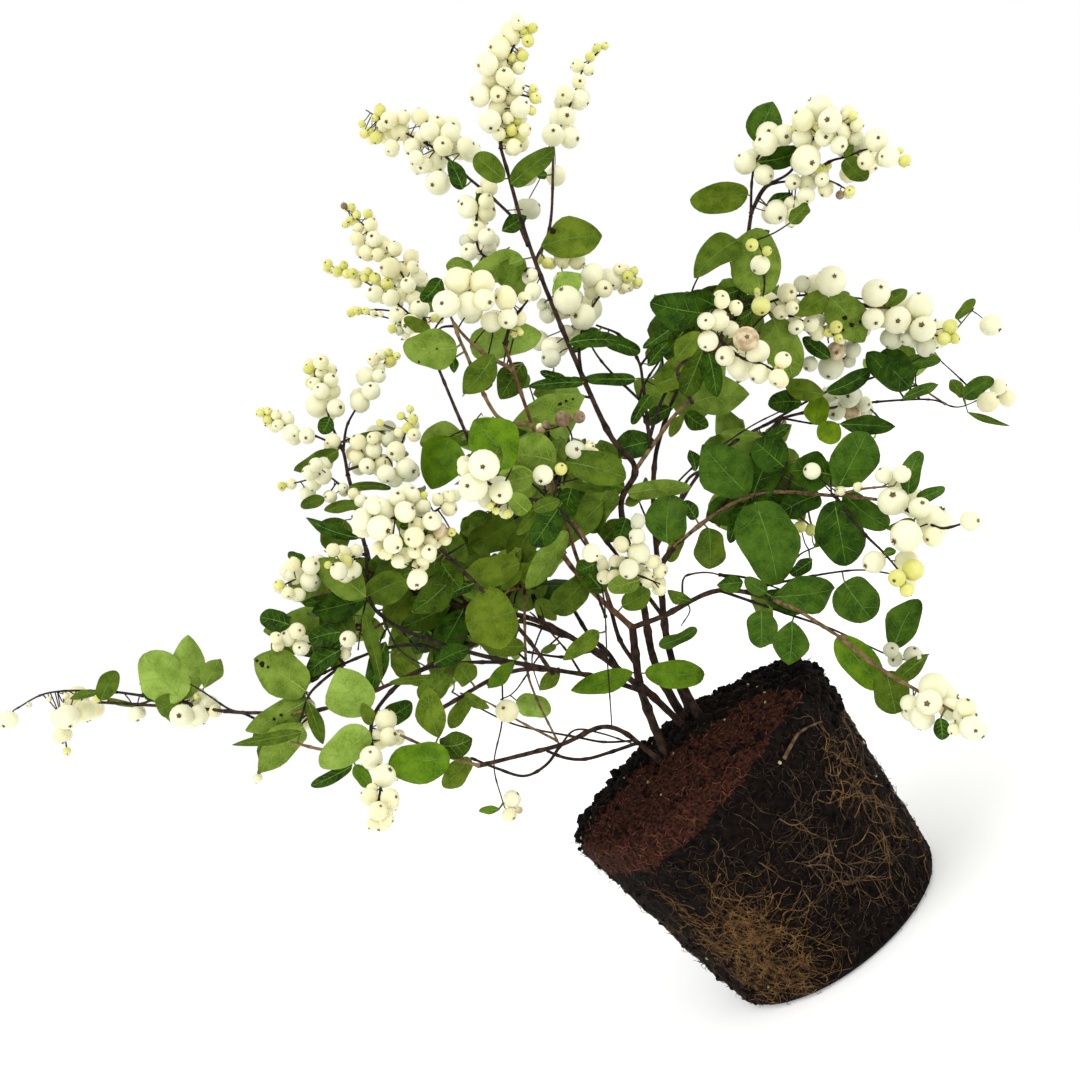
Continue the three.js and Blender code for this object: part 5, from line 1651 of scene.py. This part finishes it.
# Fine fibres: how many, and the radii of their points.
WALL_FIBRES = 3500
DOME_FIBRES = 1500
WALL_FIBRE_RADII = (0.16, 0.15, 0.12, 0.07)
DOME_FIBRE_RADII = (0.17, 0.16, 0.12, 0.07)
DOME_FIBRE_STEPS = (0.0, 1.2, 2.4, 3.4)


def add_fibre(place, line, radii):
    """A fibre in the colour of the soil it lies on."""
    look = "red_fibre" if is_red(place) else "fibre"
    tube(root_heaps[look], np.array(line), radii, 3)


def wall_fibre():
    """A fine fibre on the wall, a few with their end standing off."""
    angle = any_angle()
    z = float(rng.uniform(3, RIM - 2))
    place = on_wall(angle, z, 0.3)
    heading = any_heading()
    turn = rng.normal(0, 0.5)
    proud = rng.uniform(0.4, 1.0) if rng.random() < 0.12 else 0.05
    line = [place]
    for k in (1, 2, 3):
        far = k * rng.uniform(0.9, 1.7)
        line.append(on_wall(angle + far * math.cos(heading + turn * k) / wall_radius(z),
                            max(0.8, z + far * math.sin(heading + turn * k)), 0.45 + proud * k))
    add_fibre(place, line, WALL_FIBRE_RADII)


def dome_fibre():
    """A short, kinked fibre on the dome."""
    flat = RIM_RADIUS * math.sqrt(rng.uniform(0.02, 0.93))
    place = on_dome(flat, any_angle())
    ahead = unit(rng.normal(0, 1, 3) * (1, 1, 0.35))
    line = [place + ahead * k + (0, 0, 0.3 * (k % 2)) for k in DOME_FIBRE_STEPS]
    add_fibre(place, line, DOME_FIBRE_RADII)


def build_roots():
    """Roots and fibres over the whole ball."""
    build_tangles()
    line = smooth([on_wall(math.radians(a), z, 0.6) for a, z in THICK_ROOT], 2)
    tube(root_heaps["pale"], line, np.linspace(*THICK_ROOT_RADII, len(line)), 6)
    for _ in range(WALL_FIBRES):
        wall_fibre()
    for _ in range(DOME_FIBRES):
        dome_fibre()


def crumb_shape():
    """A rough eight-cornered lump."""
    g = 0.62
    corners = [(x, y, z) for x in (-g, g) for y in (-g, g) for z in (-g, g)]
    corners += [(0, 0, 1), (0, 0, -1), (1, 0, 0), (-1, 0, 0), (0, 1, 0), (0, -1, 0)]
    faces = []
    for axis in range(3):
        for sign in (-1, 1):
            tip = next(8 + i for i, c in enumerate(corners[8:]) if c[axis] == sign)
            ring = [i for i in range(8) if corners[i][axis] * sign > 0]
            centre = np.array(corners[tip], float)
            u = unit(np.cross(centre, (0.3, 0.5, 0.8)))
            w = np.cross(centre, u)
            ring.sort(key=lambda i: math.atan2(np.dot(corners[i], w), np.dot(corners[i], u)))
            faces += [(tip, ring[k], ring[(k + 1) % 4]) for k in range(4)]
    return np.array(corners, float), faces


CRUMB = crumb_shape()
DOME_CRUMBS = 1700
WALL_CRUMBS = 620
PALE_CRUMBS = 60
CLOD_EVERY = 8


def rough_crumb():
    """The corners of a crumb, each a little off its place."""
    return CRUMB[0] * rng.uniform(0.7, 1.3, CRUMB[0].shape)


def add_crumb(heap, place, shape):
    """A crumb at a place, turned at random."""
    heap.add(place + shape @ turned(rng.normal(0, 1, 3)).T, CRUMB[1])


def dome_crumb(heaps):
    """A crumb on the dome, often at its edge."""
    edge = rng.random() < 0.35
    flat = DOME_RADIUS * (rng.uniform(0.95, 1.0) if edge else math.sqrt(rng.uniform(0.0, 0.92)))
    place = on_dome(flat, any_angle())
    red = is_red(place)
    size = (1.0 if red else 1.5) * (rng.uniform(0.5, 1.1) if rng.random() < 0.75 else rng.uniform(1.1, 2.1))
    kind = "coir" if red and rng.random() < 0.8 else "soil"
    add_crumb(heaps[kind], place, rough_crumb() * size)


def wall_crumb(heaps, clod):
    """A crumb on the wall, or a clod near the rim on the right."""
    angle = math.radians(rng.uniform(-35, 25)) if clod else any_angle()
    z = float(rng.uniform(82, RIM - 1) if clod else rng.uniform(2, RIM - 1))
    place = on_wall(angle, z, 0.2)
    size = rng.uniform(1.2, 2.4) if clod else rng.uniform(0.5, 1.3)
    add_crumb(heaps["coir" if is_red(place) else "soil"], place, rough_crumb() * size)


def pale_crumb(heaps):
    """A pale crumb on the wall or the dome."""
    if rng.random() < 0.5:
        place = on_wall(any_angle(), float(rng.uniform(4, RIM - 4)), 0.5)
    else:
        place = on_dome(RIM_RADIUS * math.sqrt(rng.uniform(0.0, 0.85)), any_angle())
    add_crumb(heaps["pale"], place, rough_crumb() * rng.uniform(0.45, 0.9))


def build_crumbs():
    """Loose crumbs on the dome and the wall, a few of them pale."""
    heaps = {"soil": Heap(), "coir": Heap(), "pale": Heap()}
    for _ in range(DOME_CRUMBS):
        dome_crumb(heaps)
    for k in range(WALL_CRUMBS):
        wall_crumb(heaps, k % CLOD_EVERY == 0)
    for _ in range(PALE_CRUMBS):
        pale_crumb(heaps)
    for look, heap in heaps.items():
        heap.make("crumbs_" + look, MATERIALS["speck" if look == "pale" else look], "soil")


# Patterns: scale of the patches on leaves, scale, line width and strength of the net of veins and how
# much lighter it is, where one colour of a patch ends and the other begins, and depth of the bump.
LEAF_PATCH_SCALE = 170.0
NET_SCALE = 640.0
NET_WIDTH = 0.12
NET_STRENGTH = 0.3
NET_LIGHTER = 20
PATCH_EDGES = (0.36, 0.64)
BUMP_DEPTH = 0.0006
PATCH_DETAIL = 4
BUMP_DETAIL = 5
# How far light goes into a berry, by colour and in metres.
SOFT_COLOURS = (1.0, 0.9, 0.6)
SOFT_DEPTH = 0.0025


def linear(colour):
    """An sRGB colour, 0 to 255, as the linear one that shaders take."""
    out = []
    for c in colour:
        c /= 255
        out.append(c / 12.92 if c <= 0.04045 else ((c + 0.055) / 1.055)**2.4)
    return (*out, 1.0)


def noise_node(nodes, links, where, scale, detail):
    """The grey value of a noise pattern."""
    pattern = nodes.new("ShaderNodeTexNoise")
    pattern.inputs["Scale"].default_value = scale
    pattern.inputs["Detail"].default_value = detail
    links.new(where, pattern.inputs["Vector"])
    return pattern.outputs["Fac"]


def net_over(nodes, links, where, colour, line_colour):
    """Lays a fine net of lighter veins over a colour."""
    cells = nodes.new("ShaderNodeTexVoronoi")
    cells.feature = "DISTANCE_TO_EDGE"
    cells.inputs["Scale"].default_value = NET_SCALE
    links.new(where, cells.inputs["Vector"])
    lines = nodes.new("ShaderNodeMapRange")
    lines.inputs["From Max"].default_value = NET_WIDTH
    lines.inputs["To Min"].default_value = NET_STRENGTH
    lines.inputs["To Max"].default_value = 0.0
    links.new(cells.outputs["Distance"], lines.inputs["Value"])
    mix = nodes.new("ShaderNodeMix")
    mix.data_type = "RGBA"
    mix.inputs[7].default_value = line_colour
    links.new(lines.outputs["Result"], mix.inputs[0])
    links.new(colour, mix.inputs[6])
    return mix.outputs[2]


def patches(nodes, links, where, scale, one, other):
    """Patches of two colours that run into one another."""
    ramp = nodes.new("ShaderNodeValToRGB")
    for element, edge, colour in zip(ramp.color_ramp.elements, PATCH_EDGES, (one, other)):
        element.position = edge
        element.color = linear(colour)
    links.new(noise_node(nodes, links, where, scale, PATCH_DETAIL), ramp.inputs["Fac"])
    return ramp.outputs["Color"]


def add_bump(nodes, links, where, shader, strength, scale):
    """Fine relief that the shader shows."""
    bump = nodes.new("ShaderNodeBump")
    bump.inputs["Strength"].default_value = strength
    bump.inputs["Distance"].default_value = BUMP_DEPTH
    links.new(noise_node(nodes, links, where, scale, BUMP_DETAIL), bump.inputs["Height"])
    links.new(bump.outputs["Normal"], shader.inputs["Normal"])


def surface_material(name, one, other, scale, rough, specular, bump=0.0, bump_scale=0.0, soft=0.0, net=None):
    """Two colours mixed by noise, with bump of a finer one. Scales are patterns a metre."""
    mat = bpy.data.materials.new(name)
    mat.use_nodes = True
    nodes, links = mat.node_tree.nodes, mat.node_tree.links
    shader = nodes["Principled BSDF"]
    shader.inputs["Roughness"].default_value = rough
    shader.inputs["Specular IOR Level"].default_value = specular
    if soft:
        shader.inputs["Subsurface Weight"].default_value = soft
        shader.inputs["Subsurface Radius"].default_value = SOFT_COLOURS
        shader.inputs["Subsurface Scale"].default_value = SOFT_DEPTH
    where = nodes.new("ShaderNodeTexCoord").outputs["Object"]
    colour = patches(nodes, links, where, scale, one, other)
    if net:
        colour = net_over(nodes, links, where, colour, linear(net))
    links.new(colour, shader.inputs["Base Color"])
    if bump:
        add_bump(nodes, links, where, shader, bump, bump_scale)
    return mat


# Materials: name, two colours, scale of their patches, roughness, gloss, and where there is any,
# strength and scale of the bump, and how much light goes in.
SURFACES = {
    "bark": ("bark", (20, 13, 10), (66, 46, 34), 260, 0.85, 0.2, 0.7, 700),
    "twig_bark": ("twig_bark", (24, 16, 12), (74, 54, 38), 300, 0.8, 0.2, 0.6, 900),
    "tan_bark": ("tan_bark", (62, 40, 25), (118, 86, 56), 240, 0.8, 0.2, 0.6, 900),
    "dark": ("twig_dark", (20, 15, 12), (56, 42, 30), 420, 0.75, 0.2, 0.5, 1100),
    "tan": ("twig_tan", (88, 68, 44), (134, 110, 74), 380, 0.75, 0.2, 0.5, 1100),
    "green": ("stalk_green", (82, 92, 34), (118, 118, 54), 500, 0.6, 0.2),
    "soil": ("soil", (3, 2, 2), (24, 16, 12), 420, 0.95, 0.1, 1.0, 1500),
    "coir": ("coir", (18, 8, 6), (68, 36, 24), 700, 0.95, 0.1, 1.0, 1700),
    "gold": ("root_gold", (84, 58, 30), (136, 102, 58), 300, 0.8, 0.2, 0.3, 1200),
    "pale": ("root_pale", (58, 42, 28), (112, 88, 60), 300, 0.8, 0.2, 0.3, 1200),
    "fibre": ("fibre", (24, 18, 13), (72, 56, 40), 400, 0.9, 0.2),
    "red_fibre": ("fibre_red", (62, 32, 22), (124, 78, 54), 400, 0.9, 0.2),
    "speck": ("speck", (118, 122, 70), (180, 176, 130), 500, 0.8, 0.2),
    "vein_top": ("vein_top", (84, 116, 40), (104, 138, 56), 300, 0.55, 0.1),
    "vein_under": ("vein_under", (116, 142, 54), (144, 168, 80), 300, 0.6, 0.1),
    "spot": ("leaf_spot", (18, 14, 8), (48, 38, 16), 900, 0.8, 0.1),
    "w": ("berry_white", (230, 228, 192), (240, 238, 206), 120, 0.45, 0.3, 0.0, 0.0, 0.2),
    "c": ("berry_cream", (228, 223, 178), (238, 234, 196), 120, 0.45, 0.3, 0.0, 0.0, 0.2),
    # g: berries in shadow, their shade painted as a green-grey colour.
    "g": ("berry_painted_shade", (200, 202, 172), (218, 218, 190), 120, 0.5, 0.3, 0.0, 0.0, 0.2),
    "y": ("berry_yellow", (204, 204, 104), (224, 222, 140), 160, 0.5, 0.3, 0.0, 0.0, 0.15),
    "n": ("berry_brown", (168, 142, 104), (220, 204, 168), 320, 0.6, 0.3, 0.3, 900, 0.1),
    "s": ("berry_withered", (104, 84, 60), (150, 128, 100), 320, 0.7, 0.2, 0.4, 900),
    "star": ("berry_star", (82, 66, 36), (144, 124, 80), 600, 0.8, 0.2),
}
# Leaf surfaces: name, two colours, roughness and gloss.
LEAF_SURFACES = {
    "top_d": ("leaf_deep", (20, 43, 1), (50, 83, 5), 0.45, 0.07),
    "top_k": ("leaf_shaded", (36, 54, 1), (62, 86, 8), 0.45, 0.06),
    "top_g": ("leaf_green", (40, 71, 4), (70, 102, 20), 0.45, 0.08),
    "top_m": ("leaf_mid", (56, 78, 8), (86, 108, 22), 0.45, 0.07),
    "top_b": ("leaf_bright", (64, 98, 4), (96, 130, 14), 0.45, 0.08),
    "top_o": ("leaf_olive", (70, 91, 10), (102, 121, 28), 0.5, 0.06),
    "top_y": ("leaf_yellow", (86, 116, 2), (122, 150, 16), 0.5, 0.06),
    "under_l": ("leaf_under_light", (86, 110, 30), (118, 142, 52), 0.65, 0.05),
    "under_p": ("leaf_under_pale", (114, 142, 50), (142, 170, 74), 0.65, 0.05),
}
LEAF_BUMP = (0.35, 1000)


def leaf_material(name, one, other, rough, specular):
    """A leaf's two greens, with the net of its finest veins a little lighter."""
    net = tuple(c + NET_LIGHTER for c in other)
    return surface_material(name, one, other, LEAF_PATCH_SCALE, rough, specular, *LEAF_BUMP, 0.0, net)


MATERIALS = {look: surface_material(*row) for look, row in SURFACES.items()}
MATERIALS.update({look: leaf_material(*row) for look, row in LEAF_SURFACES.items()})


def join_pieces():
    """Everything that grew, each kind as one piece, in place of the sprays it grew in."""
    slots = {n["node"]: n["material_slot"] for n in frame["record"]["subparts"]}
    sprays = {slot: [n for n, s in slots.items() if s == slot] for slot in set(slots.values())}
    leafy = sprays["foliage"] + sprays["foliage_and_fruit"]
    fruity = sprays["fruit"] + sprays["foliage_and_fruit"]
    for look, heap in twig_heaps.items():
        heap.make("twigs_" + look, MATERIALS[look], "twig")
    for look, heap in leaf_heaps.items():
        heap.make("leaves_" + look, MATERIALS[look], "foliage", leafy)
    for tone, heap in fruit_heaps.items():
        heap.make("berries_" + MATERIALS[tone].name, MATERIALS[tone], "fruit", fruity)
    for look, heap in root_heaps.items():
        heap.make("roots_" + look, MATERIALS[look], "soil")


# The stage, in metres: half the floor, and place, size and power of each light.
FLOOR_HALF = 3.0
FLOOR_GLOW = 0.25
LIGHTS = {"key": ((0.5, -1.3, 1.5), 1.0, 9), "side": ((-1.4, -0.6, 0.9), 1.2, 4)}
LIT_PLACE = (0, 0, 0.25)
WHITE = (1, 1, 1, 1)


def build_floor():
    """A pale floor that glows a little."""
    h = FLOOR_HALF
    mesh = bpy.data.meshes.new("floor")
    mesh.from_pydata([(-h, -h, 0), (h, -h, 0), (h, h, 0), (-h, h, 0)], [], [(0, 1, 2, 3)])
    paint = surface_material("floor", (246, 246, 245), (250, 250, 249), 3, 0.9, 0.0)
    shader = paint.node_tree.nodes["Principled BSDF"]
    shader.inputs["Emission Color"].default_value = WHITE
    shader.inputs["Emission Strength"].default_value = FLOOR_GLOW
    mesh.materials.append(paint)
    floor = bpy.data.objects.new("floor", mesh)
    bpy.context.scene.collection.objects.link(floor)


def build_lights():
    """A white room, and soft light from above the camera and from the left."""
    world = bpy.data.worlds.new("room")
    bpy.context.scene.world = world
    world.use_nodes = True
    world.node_tree.nodes["Background"].inputs["Color"].default_value = WHITE
    world.node_tree.nodes["Background"].inputs["Strength"].default_value = 1.0
    for name, (place, size, power) in LIGHTS.items():
        light = bpy.data.lights.new(name, "AREA")
        light.energy = power
        light.size = size
        lamp = bpy.data.objects.new(name, light)
        lamp.location = place
        lamp.rotation_mode = "QUATERNION"
        lamp.rotation_quaternion = (Vector(LIT_PLACE) - Vector(place)).to_track_quat("-Z", "Y")
        bpy.context.scene.collection.objects.link(lamp)


def build_camera():
    """The reference view: a level camera rolled as the plant is tipped in it."""
    data = bpy.data.cameras.new("camera")
    data.sensor_width = SENSOR
    data.lens = SENSOR * FOCAL_PX / FRAME_PX
    data.clip_start = 0.01
    camera = bpy.data.objects.new("camera", data)
    camera.rotation_mode = "QUATERNION"
    camera.rotation_quaternion = Matrix(AXES.T.tolist()).to_quaternion()
    camera.location = Vector(EYE * MM)
    bpy.context.scene.collection.objects.link(camera)
    bpy.context.scene.camera = camera


build_limbs()
build_twigs()
build_seen_leaves()
build_seen_fruit()
build_fill()
build_ball()
build_roots()
build_crumbs()
join_pieces()
build_floor()
build_lights()
build_camera()
bpy.context.scene.view_settings.view_transform = "Standard"
